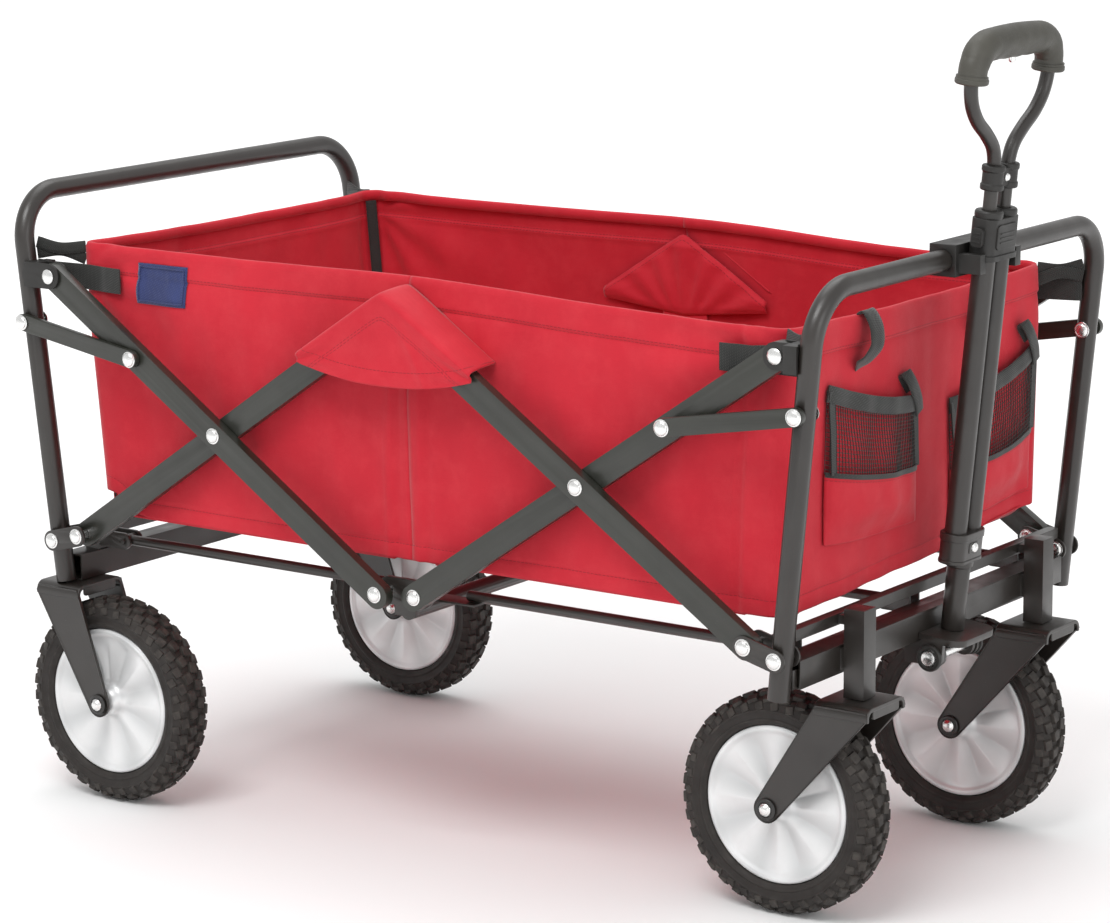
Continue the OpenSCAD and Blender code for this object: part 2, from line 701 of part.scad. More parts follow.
placed() floor_centre();
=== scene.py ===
"""Folding camp wagon: the looks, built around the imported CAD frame.

Shapes are drawn in millimetres with x measured from the wagon's middle plane, as the CAD draws
them, and turned into the row frame (metres) when a piece is made.
"""
import json
import math

import bmesh
import bpy
from mathutils import Matrix, Vector, noise


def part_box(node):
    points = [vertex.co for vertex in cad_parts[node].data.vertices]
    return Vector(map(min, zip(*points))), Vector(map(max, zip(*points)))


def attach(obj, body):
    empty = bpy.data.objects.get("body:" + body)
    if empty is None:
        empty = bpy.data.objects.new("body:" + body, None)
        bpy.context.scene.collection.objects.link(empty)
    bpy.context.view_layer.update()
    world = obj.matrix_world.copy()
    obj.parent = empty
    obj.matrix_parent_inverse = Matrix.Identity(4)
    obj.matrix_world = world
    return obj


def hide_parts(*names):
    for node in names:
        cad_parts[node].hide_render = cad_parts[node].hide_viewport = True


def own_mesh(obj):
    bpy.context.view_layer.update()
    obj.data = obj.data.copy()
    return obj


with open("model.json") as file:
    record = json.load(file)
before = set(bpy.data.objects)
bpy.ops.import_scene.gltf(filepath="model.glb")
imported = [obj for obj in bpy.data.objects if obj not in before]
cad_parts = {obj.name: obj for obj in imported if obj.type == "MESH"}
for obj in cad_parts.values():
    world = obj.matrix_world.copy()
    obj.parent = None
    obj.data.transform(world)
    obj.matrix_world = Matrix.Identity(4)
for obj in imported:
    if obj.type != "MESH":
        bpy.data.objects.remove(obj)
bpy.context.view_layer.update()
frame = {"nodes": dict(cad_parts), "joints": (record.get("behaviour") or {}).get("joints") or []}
JOINTS = {j["name"]: j for j in frame["joints"]}
SCENE = bpy.context.scene

HUB_LO, HUB_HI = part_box("centre_crossbar")
MID_X = (HUB_LO.x + HUB_HI.x) / 2
TO_WORLD = Matrix.Translation((MID_X, 0, 0)) @ Matrix.Scale(0.001, 4)
SIDES = ((-1, "near"), (1, "far"))


def mm(p):
    """A point of the row frame, in millimetres from the middle plane."""
    return Vector(((p[0] - MID_X) * 1000, p[1] * 1000, p[2] * 1000))


def box_mm(node):
    lo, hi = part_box(node)
    return mm(lo), mm(hi)


def joint_mm(name):
    return mm(JOINTS[name]["pos_m"])


def clamp(x, lo=0.0, hi=1.0):
    return max(lo, min(hi, x))


def smooth(x):
    x = clamp(x)
    return x * x * (3 - 2 * x)


def lerp(a, b, t):
    return a + (b - a) * t


# ---- camera ----

def make_camera():
    azimuth, elevation, roll = (math.radians(a) for a in (35.53, 11.78, -0.48))
    back = Vector((math.sin(azimuth) * math.cos(elevation),
                   -math.cos(azimuth) * math.cos(elevation), math.sin(elevation)))
    right = Vector((math.cos(azimuth), math.sin(azimuth), 0))
    up = back.cross(right)
    right, up = (right * math.cos(roll) + up * math.sin(roll),
                 up * math.cos(roll) - right * math.sin(roll))
    data = bpy.data.cameras.new("camera")
    data.lens, data.sensor_width = 120.44, 36
    data.shift_x, data.shift_y = -0.00604, 0.00046
    data.clip_start, data.clip_end = 0.1, 60
    camera = bpy.data.objects.new("camera", data)
    SCENE.collection.objects.link(camera)
    turn = Matrix((right, up, back)).transposed().to_4x4()
    camera.matrix_world = Matrix.Translation((1.99471, -2.81202, 1.05497)) @ turn
    SCENE.camera = camera


make_camera()


# ---- materials ----

PETALS = 8

class Paint:
    """A material's nodes, made one after another."""

    def __init__(self, name, rough=0.5, metal=0.0, specular=0.5, **inputs):
        self.material = bpy.data.materials.new(name)
        self.material.use_nodes = True
        self.tree = self.material.node_tree
        self.tree.nodes.clear()
        out = self.node("ShaderNodeOutputMaterial")
        self.shader = self.node("ShaderNodeBsdfPrincipled")
        self.tree.links.new(self.shader.outputs[0], out.inputs[0])
        self.put("Roughness", rough)
        self.put("Metallic", metal)
        self.put("Specular IOR Level", specular)
        for key, value in inputs.items():
            self.put(key.replace("_", " "), value)
        self.where = self.node("ShaderNodeTexCoord")
        self.normal = None

    def node(self, kind, **values):
        made = self.tree.nodes.new(kind)
        for key, value in values.items():
            setattr(made, key, value)
        return made

    def put(self, key, value):
        if isinstance(value, bpy.types.NodeSocket):
            self.tree.links.new(value, self.shader.inputs[key])
        else:
            self.shader.inputs[key].default_value = value

    def feed(self, socket, value):
        if isinstance(value, bpy.types.NodeSocket):
            self.tree.links.new(value, socket)
        else:
            socket.default_value = value

    def coords(self, source="Object", scale=(1, 1, 1), layer=None):
        if layer:
            start = self.node("ShaderNodeUVMap", uv_map=layer).outputs[0]
        else:
            start = self.where.outputs[source]
        mapping = self.node("ShaderNodeMapping")
        mapping.inputs["Scale"].default_value = scale
        self.tree.links.new(start, mapping.inputs[0])
        return mapping.outputs[0]

    def noise(self, scale, detail=4.0, rough=0.55, at=None):
        made = self.node("ShaderNodeTexNoise")
        made.inputs["Scale"].default_value = scale
        made.inputs["Detail"].default_value = detail
        made.inputs["Roughness"].default_value = rough
        self.tree.links.new(at or self.where.outputs["Object"], made.inputs["Vector"])
        return made.outputs["Fac"]

    def ramp(self, value, low, high, a=0.0, b=1.0):
        made = self.node("ShaderNodeMapRange", clamp=True)
        for key, given in zip(("Value", "From Min", "From Max", "To Min", "To Max"),
                              (value, low, high, a, b)):
            self.feed(made.inputs[key], given)
        return made.outputs[0]

    def math(self, how, a, b=0.0, c=0.0):
        made = self.node("ShaderNodeMath", operation=how)
        for socket, value in zip(made.inputs, (a, b, c)):
            self.feed(socket, value)
        return made.outputs[0]

    def mix(self, share, a, b):
        made = self.node("ShaderNodeMix", data_type="RGBA")
        self.feed(made.inputs[0], share)
        for socket, value in ((made.inputs[6], a), (made.inputs[7], b)):
            if isinstance(value, bpy.types.NodeSocket):
                self.tree.links.new(value, socket)
            else:
                socket.default_value = (*value, 1)
        return made.outputs[2]

    def wave(self, value, period):
        """0 to 1 and back along a coordinate, once every period."""
        turns = self.math("MULTIPLY", value, 2 * math.pi / period)
        return self.math("MULTIPLY_ADD", self.math("SINE", turns), 0.5, 0.5)

    def split(self, vector):
        made = self.node("ShaderNodeSeparateXYZ")
        self.tree.links.new(vector, made.inputs[0])
        return made.outputs

    def bump(self, height, distance, strength=1.0):
        made = self.node("ShaderNodeBump")
        made.inputs["Strength"].default_value = strength
        made.inputs["Distance"].default_value = distance
        self.tree.links.new(height, made.inputs["Height"])
        if self.normal:
            self.tree.links.new(self.normal, made.inputs["Normal"])
        self.normal = made.outputs[0]
        self.tree.links.new(self.normal, self.shader.inputs["Normal"])

    def edges(self, low, high):
        """0 on flats and 1 on raised edges, for wear."""
        return self.ramp(self.node("ShaderNodeNewGeometry").outputs["Pointiness"], low, high)


def powder_coat(name, dark, light, worn, rough=0.36):
    p = Paint(name, specular=0.55, Coat_Weight=0.25, Coat_Roughness=0.3)
    tone = p.mix(p.ramp(p.noise(14, 5), 0.35, 0.7), dark, light)
    specks = p.ramp(p.noise(700, 3, 0.7), 0.66, 0.74, 0.0, 0.5)
    scuffs = p.math("MULTIPLY", specks, p.ramp(p.noise(22, 3), 0.5, 0.62))
    p.put("Base Color", p.mix(scuffs, tone, worn))
    p.put("Roughness", p.ramp(p.noise(45, 5), 0.3, 0.75, rough - 0.06, rough + 0.12))
    p.bump(p.noise(1500, 2), 0.00006, 0.7)
    p.bump(p.noise(220, 3), 0.00008, 0.5)
    return p.material


def zinc():
    p = Paint("zinc", metal=1.0)
    p.put("Base Color", p.mix(p.noise(260, 4), (0.72, 0.72, 0.71), (0.92, 0.92, 0.91)))
    p.put("Roughness", p.ramp(p.noise(420, 5), 0.3, 0.7, 0.16, 0.36))
    p.bump(p.noise(900, 3), 0.00004, 0.6)
    return p.material


def tyre_rubber():
    p = Paint("tyre_rubber", specular=0.35)
    tone = p.mix(p.ramp(p.noise(30, 5), 0.3, 0.75), (0.017, 0.014, 0.0125), (0.030, 0.025, 0.022))
    dust = p.math("MULTIPLY", p.edges(0.51, 0.58), p.ramp(p.noise(120, 4), 0.4, 0.7, 0.1, 0.8))
    p.put("Base Color", p.mix(dust, tone, (0.065, 0.057, 0.050)))
    p.put("Roughness", p.ramp(p.noise(90, 4), 0.3, 0.7, 0.5, 0.74))
    p.bump(p.noise(1100, 4), 0.00012, 0.8)
    return p.material


def disc_silver():
    """Silver paint over pressed facets, with painted light and shade that alternate once per petal;
    the UVs run round the wheel.
    """
    p = Paint("disc_silver", metal=0.30, specular=0.5)
    round_it, _, _ = p.split(p.coords("UV"))
    # painted light and shade: the colour goes from grey to pale and back once per petal, as light
    # would fall on the facets
    facets = p.wave(p.math("ADD", round_it, 0.02), 1 / PETALS)
    cloud = p.ramp(p.noise(40, 4), 0.3, 0.7)
    tone = p.mix(facets, (0.60, 0.61, 0.615), (0.80, 0.805, 0.81))
    p.put("Base Color", p.mix(p.math("MULTIPLY", cloud, 0.35), tone, (0.66, 0.66, 0.65)))
    p.put("Roughness", p.ramp(cloud, 0.0, 1.0, 0.28, 0.40))
    p.bump(p.noise(1600, 3), 0.00003, 0.5)
    return p.material


def stitch_line(p, across, down, depth, width=0.0008, pitch=0.0042):
    """1 on the stitches of a row that runs at one depth below the edge."""
    near = p.math("LESS_THAN", p.math("ABSOLUTE", p.math("SUBTRACT", down, depth)), width / 2)
    part = p.math("FRACT", p.math("DIVIDE", across, pitch))
    return p.math("MULTIPLY", near, p.math("LESS_THAN", part, 0.72))


def weave_nodes(p, across, down, shade, lit, fade):
    """Tone and height of plain-woven cloth whose UVs are metres of cloth."""
    warp, weft = p.wave(across, 0.0012), p.wave(down, 0.0012 * 1.1)
    check = p.math("MULTIPLY", warp, weft)
    weave = p.math("MAXIMUM", check, p.math("MULTIPLY", p.math("SUBTRACT", 1.0, warp),
                                            p.math("SUBTRACT", 1.0, weft)))
    slub = p.noise(1.0, 4, at=p.coords("UV", (90, 900, 1)))
    tone = p.mix(p.ramp(p.noise(7, 4, 0.6), 0.3, 0.72), shade, lit)
    tone = p.mix(p.ramp(p.noise(38, 5, 0.65), 0.45, 0.85, 0.0, 0.45), tone, fade)
    grain = p.ramp(p.math("ADD", weave, p.math("MULTIPLY", slub, 0.5)), 0.1, 1.3, 0.35, 0.0)
    return p.mix(grain, tone, tuple(c * 0.55 for c in shade)), weave


def basket_cloth(name, rows, low_rows=()):
    """Red cloth with stitch rows at depths below its top edge and above its low edge."""
    p = Paint(name, rough=0.74, specular=0.25, Sheen_Weight=0.14, Sheen_Roughness=0.45)
    across, down, _ = p.split(p.coords("UV"))
    tone, weave = weave_nodes(p, across, down,
                              (0.50, 0.012, 0.026), (0.64, 0.020, 0.038), (0.68, 0.050, 0.064))
    stitches = 0.0
    for layer, depths in (("UVMap", rows), ("low", low_rows)):
        x, y, _ = p.split(p.coords(layer=layer))
        for depth in depths:
            stitches = p.math("MAXIMUM", stitches, stitch_line(p, x, y, depth))
    tone = p.mix(p.math("MULTIPLY", stitches, 0.65), tone, (0.22, 0.006, 0.014))
    p.put("Base Color", tone)
    p.bump(weave, 0.00018, 0.5)
    p.bump(p.noise(55, 4, 0.6), 0.0014, 0.35)
    p.bump(stitches, 0.0003, 0.6)
    return p.material


def webbing(name, dark, light):
    """Woven strap: ribs run across it, with a selvedge along each edge."""
    p = Paint(name, rough=0.62, specular=0.3, Sheen_Weight=0.25)
    across, down, _ = p.split(p.coords("UV"))
    ribs = p.wave(across, 0.0016)
    twill = p.wave(p.math("ADD", across, down), 0.0024)
    tone = p.mix(p.ramp(p.noise(60, 4), 0.3, 0.7), dark, light)
    p.put("Base Color", p.mix(p.math("MULTIPLY", p.math("MULTIPLY", ribs, twill), 0.5),
                              tone, tuple(c * 1.9 + 0.01 for c in light)))
    p.bump(p.math("ADD", ribs, twill), 0.00025, 0.7)
    return p.material


def moulded(name, dark, light, rough=0.45, grain=0.00012):
    p = Paint(name, specular=0.45)
    tone = p.mix(p.ramp(p.noise(24, 4), 0.3, 0.7), dark, light)
    scuffs = p.ramp(p.noise(240, 4, 0.7), 0.62, 0.75, 0.0, 0.35)
    p.put("Base Color", p.mix(scuffs, tone, tuple(c * 2.0 + 0.01 for c in light)))
    p.put("Roughness", p.ramp(p.noise(70, 4), 0.3, 0.7, rough - 0.07, rough + 0.1))
    p.bump(p.noise(1300, 3), grain, 0.6)
    return p.material


FRAME_COAT = powder_coat("frame_coat", (0.0155, 0.0125, 0.0105), (0.023, 0.019, 0.016),
                         (0.14, 0.13, 0.12))
BAR_COAT = powder_coat("bar_coat", (0.0150, 0.0155, 0.0115), (0.022, 0.023, 0.017),
                       (0.13, 0.13, 0.11))
ZINC = zinc()
RUBBER = tyre_rubber()
SILVER = disc_silver()
CLOTH = basket_cloth("basket_cloth", rows=(0.0262, 0.0235), low_rows=(0.014,))
CLOTH_PLAIN = basket_cloth("basket_cloth_plain", rows=(0.0055,))
WEBBING = webbing("webbing", (0.010, 0.010, 0.009), (0.018, 0.019, 0.017))
PATCH = webbing("patch_cloth", (0.012, 0.020, 0.085), (0.020, 0.034, 0.13))
BLACK = moulded("black_plastic", (0.013, 0.012, 0.011), (0.021, 0.020, 0.018))
GRIP = moulded("grip_plastic", (0.044, 0.042, 0.034), (0.064, 0.061, 0.050), 0.48, 0.0003)
DARK_STEEL = powder_coat("dark_ring", (0.012, 0.011, 0.010), (0.018, 0.017, 0.016),
                         (0.08, 0.08, 0.07), 0.4)


# ---- mesh tools ----

def piece(name, bm, material, body, replaces=(), sharp=38, bevel=None, subdivide=0):
    """Turns a drawing into a named object that rides on a CAD body."""
    bmesh.ops.recalc_face_normals(bm, faces=bm.faces)
    bmesh.ops.transform(bm, matrix=TO_WORLD, verts=bm.verts)
    mesh = bpy.data.meshes.new(name)
    bm.to_mesh(mesh)
    bm.free()
    mesh.materials.append(material)
    mesh.polygons.foreach_set("use_smooth", [True] * len(mesh.polygons))
    made = bpy.data.objects.new(name, mesh)
    SCENE.collection.objects.link(made)
    if bevel:
        add_bevel(made, *bevel)
    else:
        mesh.set_sharp_from_angle(angle=math.radians(sharp))
    if subdivide:
        mod = made.modifiers.new("smooth", "SUBSURF")
        mod.levels = mod.render_levels = subdivide
    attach(made, body)
    if replaces:
        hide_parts(*replaces)
    return made


def add_bevel(made, width, segments=2, angle=30):
    mod = made.modifiers.new("bevel", "BEVEL")
    mod.width, mod.segments = width / 1000, segments
    mod.limit_method, mod.angle_limit = "ANGLE", math.radians(angle)
    mod.harden_normals = True
    mod.use_clamp_overlap = True


def uv_layer(bm, name="UVMap"):
    return bm.loops.layers.uv.get(name) or bm.loops.layers.uv.new(name)


def add_lathe(bm, profile, centre, axis="Y", steps=48, wobble=None):
    """Turns (radius, height) pairs round an axis through centre."""
    uv = uv_layer(bm)
    c = Vector(centre)
    rings = []
    for k, (r, h) in enumerate(profile):
        ring = []
        for i in range(1 if r < 1e-6 else steps):
            a = 2 * math.pi * i / steps
            q = h + (wobble(a, r) if wobble else 0)
            if axis == "Y":
                p = Vector((r * math.cos(a), q, r * math.sin(a)))
            elif axis == "Z":
                p = Vector((r * math.cos(a), r * math.sin(a), q))
            else:
                p = Vector((q, r * math.cos(a), r * math.sin(a)))
            ring.append(bm.verts.new(c + p))
        rings.append(ring)
    for k in range(len(rings) - 1):
        a, b = rings[k], rings[k + 1]
        for i in range(steps):
            n = (i + 1) % steps
            corners = []
            for vert, u, v in ((a[i % len(a)], i, k), (a[n % len(a)], i + 1, k),
                               (b[n % len(b)], i + 1, k + 1), (b[i % len(b)], i, k + 1)):
                if vert not in [x[0] for x in corners]:
                    corners.append((vert, u, v))
            if len(corners) < 3:
                continue
            face = bm.faces.new([x[0] for x in corners])
            for loop, (_, u, v) in zip(face.loops, corners):
                loop[uv].uv = (u / steps, profile[v][0] / 100)


def frames_along(path, up):
    """Turning-free frames (point, side, up) along a path."""
    out, last = [], Vector(up).normalized()
    for i, p in enumerate(path):
        ahead = (path[min(i + 1, len(path) - 1)] - path[max(i - 1, 0)]).normalized()
        last = (last - ahead * last.dot(ahead)).normalized()
        out.append((p, ahead.cross(last).normalized(), last.copy()))
    return out


def frames_across(path, across):
    """Frames whose side keeps to one direction, for straps that loop over an edge."""
    out = []
    for i, p in enumerate(path):
        ahead = (path[min(i + 1, len(path) - 1)] - path[max(i - 1, 0)]).normalized()
        side = (Vector(across) - ahead * ahead.dot(Vector(across))).normalized()
        out.append((p, side, side.cross(ahead).normalized()))
    return out


def add_sweep(bm, path, section, up=(0, 0, 1), closed=False, across=None):
    """Runs a closed section (pairs across, up) along a path."""
    uv = uv_layer(bm)
    path = [Vector(p) for p in path]
    if closed:
        path.append(path[0])
    rings, lengths = [], [0.0]
    for i in range(1, len(path)):
        lengths.append(lengths[-1] + (path[i] - path[i - 1]).length / 1000)
    frames = frames_across(path, across) if across else frames_along(path, up)
    for p, side, top in frames:
        rings.append([bm.verts.new(p + side * a + top * b) for a, b in section])
    round_it = [0.0]
    n = len(section)
    for i in range(n):
        (a, b), (c, d) = section[i], section[(i + 1) % n]
        round_it.append(round_it[-1] + math.hypot(c - a, d - b) / 1000)
    for i in range(len(rings) - 1):
        for j in range(n):
            m = (j + 1) % n
            face = bm.faces.new((rings[i][j], rings[i][m], rings[i + 1][m], rings[i + 1][j]))
            for loop, (u, v) in zip(face.loops, ((i, j), (i, j + 1), (i + 1, j + 1), (i + 1, j))):
                loop[uv].uv = (lengths[u], round_it[v])
    if not closed:
        bm.faces.new(rings[0][::-1])
        bm.faces.new(rings[-1])


def band(width, thick):
    """Section of a flat strap with rounded edges."""
    w, t = width / 2, thick / 2
    return [(-w, -t * 0.4), (-w * 0.94, -t), (-w / 3, -t), (w / 3, -t), (w * 0.94, -t), (w, -t * 0.4),
            (w, t * 0.4), (w * 0.94, t), (w / 3, t), (-w / 3, t), (-w * 0.94, t), (-w, t * 0.4)]


def curve(points, steps):
    """Smooth path through points, in steps from each to the next."""
    pts = [Vector(p) for p in points]
    pts = [2 * pts[0] - pts[1], *pts, 2 * pts[-1] - pts[-2]]
    out = []
    for i in range(1, len(pts) - 2):
        a, b, c, d = pts[i - 1:i + 3]
        for k in range(steps):
            t = k / steps
            out.append(0.5 * ((2 * b) + (c - a) * t + (2 * a - 5 * b + 4 * c - d) * t * t
                              + (3 * b - a - 3 * c + d) * t ** 3))
    out.append(pts[-2])
    return out


def add_prism(bm, outline, y0, y1, plane="XZ"):
    """Extrudes a 2-D outline between two offsets, drawn in the XZ, YZ or XY plane."""
    def at(a, b, h):
        return {"XZ": (a, h, b), "YZ": (h, a, b), "XY": (a, b, h)}[plane]
    low = [bm.verts.new(at(a, b, y0)) for a, b in outline]
    high = [bm.verts.new(at(a, b, y1)) for a, b in outline]
    n = len(outline)
    faces = [bm.faces.new(low[::-1]), bm.faces.new(high)]
    for i in range(n):
        faces.append(bm.faces.new((low[i], low[(i + 1) % n], high[(i + 1) % n], high[i])))
    return faces


def hull2d(points):
    """Convex outline round points."""
    pts = sorted(set((round(a, 4), round(b, 4)) for a, b in points))

    def half(seq):
        out = []
        for p in seq:
            while len(out) > 1 and ((out[-1][0] - out[-2][0]) * (p[1] - out[-2][1])
                                    - (out[-1][1] - out[-2][1]) * (p[0] - out[-2][0])) <= 0:
                out.pop()
            out.append(p)
        return out[:-1]
    return half(pts) + half(pts[::-1])


def circle(r, steps=28, a=0, b=0):
    """Points of a circle of radius r round (a, b)."""
    return [(a + r * math.cos(2 * math.pi * i / steps), b + r * math.sin(2 * math.pi * i / steps))
            for i in range(steps)]


def round_rect(a0, a1, b0, b1, r, steps=6):
    out = []
    for ca, cb, start in ((a1 - r, b1 - r, 0), (a0 + r, b1 - r, 90), (a0 + r, b0 + r, 180),
                          (a1 - r, b0 + r, 270)):
        for i in range(steps + 1):
            t = math.radians(start + 90 * i / steps)
            out.append((ca + r * math.cos(t), cb + r * math.sin(t)))
    return out


def add_grid(bm, columns, rows, point, uv_at, low_at=None):
    """A sheet of quads: point(i, j) in millimetres, uv_at(i, j) in metres."""
    uv = uv_layer(bm)
    low = uv_layer(bm, "low") if low_at else None
    net = make_net(columns, rows, lambda i, j: bm.verts.new(point(i, j)))
    for i in range(columns - 1):
        for j in range(rows - 1):
            corners = ((i, j), (i + 1, j), (i + 1, j + 1), (i, j + 1))
            face = bm.faces.new([net[a][b] for a, b in corners])
            for loop, (a, b) in zip(face.loops, corners):
                loop[uv].uv = uv_at(a, b)
                if low:
                    loop[low].uv = low_at(a, b)


def cloth(name, bm, body, thickness, replaces=(), material=None, offset=0, subdivide=0):
    """A sheet of basket cloth, or of another material, with its thickness in millimetres."""
    made = piece(name, bm, material or CLOTH_PLAIN, body, replaces, 180,
                 subdivide=subdivide)
    mod = made.modifiers.new("thickness", "SOLIDIFY")
    mod.thickness, mod.offset = thickness / 1000, offset
    return made


def make_net(columns, rows, at):
    return [[at(i, j) for j in range(rows)] for i in range(columns)]


def even(across, down):
    """UVs for a grid whose steps are even, in metres."""
    return lambda i, j: (i * across, j * down)


def islands(node):
    """Separate solids of a CAD node: (lowest, highest corner in mm, polygon numbers)."""
    mesh = frame["nodes"][node].data
    key, parent = {}, []

    def find(a):
        while parent[a] != a:
            parent[a] = parent[parent[a]]
            a = parent[a]
        return a
    ids = []
    for v in mesh.vertices:
        k = tuple(round(c * 50000) for c in v.co)
        if k not in key:
            key[k] = len(parent)
            parent.append(len(parent))
        ids.append(key[k])
    for poly in mesh.polygons:
        first = find(ids[poly.vertices[0]])
        for v in poly.vertices[1:]:
            parent[find(ids[v])] = first
    groups = {}
    for poly in mesh.polygons:
        groups.setdefault(find(ids[poly.vertices[0]]), []).append(poly.index)
    out = []
    for polys in groups.values():
        pts = [mm(mesh.vertices[v].co) for p in polys for v in mesh.polygons[p].vertices]
        out.append((Vector(min(p[i] for p in pts) for i in range(3)),
                    Vector(max(p[i] for p in pts) for i in range(3)), polys))
    return out


# ---- CAD nodes that keep their shape ----

def dress(node, material, bevel, segments=2):
    """Gives a CAD node its finish and rounds its edges."""
    made = frame["nodes"][node]
    made.data.materials.clear()
    made.data.materials.append(material)
    made.data.polygons.foreach_set("use_smooth", [True] * len(made.data.polygons))
    mod = made.modifiers.new("weld", "WELD")
    mod.merge_threshold = 0.00003
    mod = made.modifiers.new("planar", "DECIMATE")
    mod.decimate_type, mod.angle_limit = "DISSOLVE", math.radians(1.5)
    add_bevel(made, bevel, segments)


def paint_islands(node, material, test):
    """Gives the separate solids of a node that pass a test another material."""
    mesh = frame["nodes"][node].data
    mesh.materials.append(material)
    number = len(mesh.materials) - 1
    for lo, hi, polys in islands(node):
        if test(hi - lo):
            for p in polys:
                mesh.polygons[p].material_index = number


FINISHES = (
    (FRAME_COAT, 0.5, 2, "rear_u_frame front_u_frame"),
    (FRAME_COAT, 1.0, 2, "rear_cross_bars front_cross_bars"),
    (FRAME_COAT, 0.6, 2, "rear_brackets front_brackets centre_crossbar top_hub_plates"),
    (FRAME_COAT, 0.8, 2, "rear_floor_rods front_floor_rods"),
    (BAR_COAT, 2.2, 4, "rear_rising_bars rear_falling_bars front_rising_bars front_falling_bars"),
    (BAR_COAT, 1.6, 3, "rear_stays front_stays"),
    (BLACK, 1.4, 3, "rear_top_caps front_top_caps"),
    (BLACK, 1.5, 3, "keeper_clip"),
    (FRAME_COAT, 1.2, 3, "handle_foot"),
    (FRAME_COAT, 0.6, 2, "handle_lower_tube"))


def dress_frame():
    for material, bevel, segments, nodes in FINISHES:
        for node in nodes.split():
            dress(node, material, bevel, segments)
    for node in ("rear_top_caps", "front_top_caps", "top_hub_plates"):
        paint_islands(node, ZINC, lambda size: size.x < 16)


# ---- rivets, bolts ----

def rivet_profile(r, rise, washer):
    """Half profile (radius, height) of a domed head on its washer."""
    out = [(r + washer, 0), (r + washer, 0.55), (r + washer - 0.4, 0.8), (r, 0.85), (r, 1.2)]
    for i in range(1, 7):
        a = math.radians(90 * i / 6)
        out.append((r * math.cos(a), 1.2 + rise * math.sin(a)))
    return out[:-1] + [(0.0, 1.2 + rise)]


def add_rivet(bm, x, z, y0, y1):
    """Rivet along Y from y0 to y1, with a domed head outside each end."""
    shank = 3.95
    for y, way in ((y0, -1), (y1, 1)):
        profile = [(shank, 0)] + rivet_profile(6.3, 2.4, 1.2)
        add_lathe(bm, [(a, way * b) for a, b in profile], (x, y, z), steps=32)
    add_lathe(bm, [(shank, y0), (shank, y1)], (x, 0, z), steps=20)


def rivet_set(name, node, body):
    """Domed rivets and turned spacers in place of a node's plain ones."""
    bm = bmesh.new()
    head = 3.0
    for lo, hi, _ in islands(node):
        x, z, long = (lo.x + hi.x) / 2, (lo.z + hi.z) / 2, hi.y - lo.y
        if long > 16:
            near_out = lo.y + (head if lo.y < 0 else head * 0.6)
            far_out = hi.y - (head if hi.y > 0 else head * 0.6)
            add_rivet(bm, x, z, near_out, far_out)
        else:
            r = (hi.x - lo.x) / 2
            add_lathe(bm, [(4.1, lo.y), (r - 0.6, lo.y), (r, lo.y + 0.6), (r, hi.y - 0.6),
                           (r - 0.6, hi.y), (4.1, hi.y), (4.1, lo.y)], (x, 0, z), steps=36)
    piece(name, bm, ZINC, body, [node], sharp=50)


def stay_rivets(name, node, body):
    """Bright rivet heads over a stay's joint with its bar."""
    mesh = frame["nodes"][node].data
    pts = [mm(v.co) for v in mesh.vertices]
    out = max(abs(p.y) for p in pts)
    bm = bmesh.new()
    for side in (-1, 1):
        ring = [p for p in pts if p.y * side > out - 0.2]
        x = (min(p.x for p in ring) + max(p.x for p in ring)) / 2
        z = (min(p.z for p in ring) + max(p.z for p in ring)) / 2
        profile = rivet_profile(6.6, 2.6, 1.0)
        add_lathe(bm, [(0, side * (out - 3.3))] + [(a, side * (out - 2.7 + b)) for a, b in profile],
                  (x, 0, z), steps=32)
    piece(name, bm, ZINC, body, sharp=50)


def axle_set(name, node, body):
    """Axle with dark washers and domed nuts."""
    bm, dark = bmesh.new(), bmesh.new()
    for lo, hi, _ in islands(node):
        x, z = (lo.x + hi.x) / 2, (lo.z + hi.z) / 2
        add_lathe(bm, [(3.9, lo.y + 5), (3.9, hi.y - 5)], (x, 0, z), steps=24)
        for y, way in ((lo.y + 5.4, -1), (hi.y - 5.4, 1)):
            add_lathe(bm, [(3.9, 0), (5.9, 0), (5.9, 2.2 * way), (5.4, 2.8 * way), (4.9, 3.0 * way),
                           (4.4, 4.2 * way), (3.2, 5.0 * way), (1.6, 5.4 * way), (0, 5.5 * way)],
                      (x, y, z), steps=32)
            add_lathe(dark, [(3.95, -1.1 * way), (9.4, -1.1 * way), (9.8, -0.6 * way),
                             (9.8, 0.9 * way), (9.2, 1.5 * way), (7.2, 1.5 * way),
                             (6.6, 0.7 * way), (3.95, 0.7 * way), (3.95, -1.1 * way)],
                      (x, y, z), steps=36)
    piece(name, bm, ZINC, body, [node], sharp=50)
    piece(name + "_washers", dark, DARK_STEEL, body, sharp=50)


def make_rivets():
    for tag, body in (("rear_frame", "rear_frame"), ("front_frame", "front_frame"),
                      ("rear_mid", "rear_rising"), ("front_mid", "front_falling"),
                      ("bottom_hub", "bottom_hub")):
        rivet_set(tag + "_rivet_set", tag + "_rivets", body)
    for end in ("rear", "front"):
        stay_rivets(end + "_stay_heads", end + "_stays", end + "_stays")
    axle_set("rear_axle_set", "rear_axles", "rear_frame")
    for _, side in SIDES:
        axle_set("caster_axle_set_" + side, "caster_axle_" + side, "caster_" + side)


# ---- wheels ----

TYRE_SIDE = [(71.6, 11.0), (71.8, 15.5), (73.0, 17.6), (75.0, 18.6), (76.0, 19.5), (77.2, 19.7),
             (78.2, 19.0), (80.5, 19.3), (83.5, 19.8), (84.3, 20.5), (85.6, 20.5), (86.3, 19.8),
             (89.4, 19.2), (92.4, 17.4), (94.7, 14.6), (96.1, 10.4), (96.8, 5.0), (97.0, 0.0)]


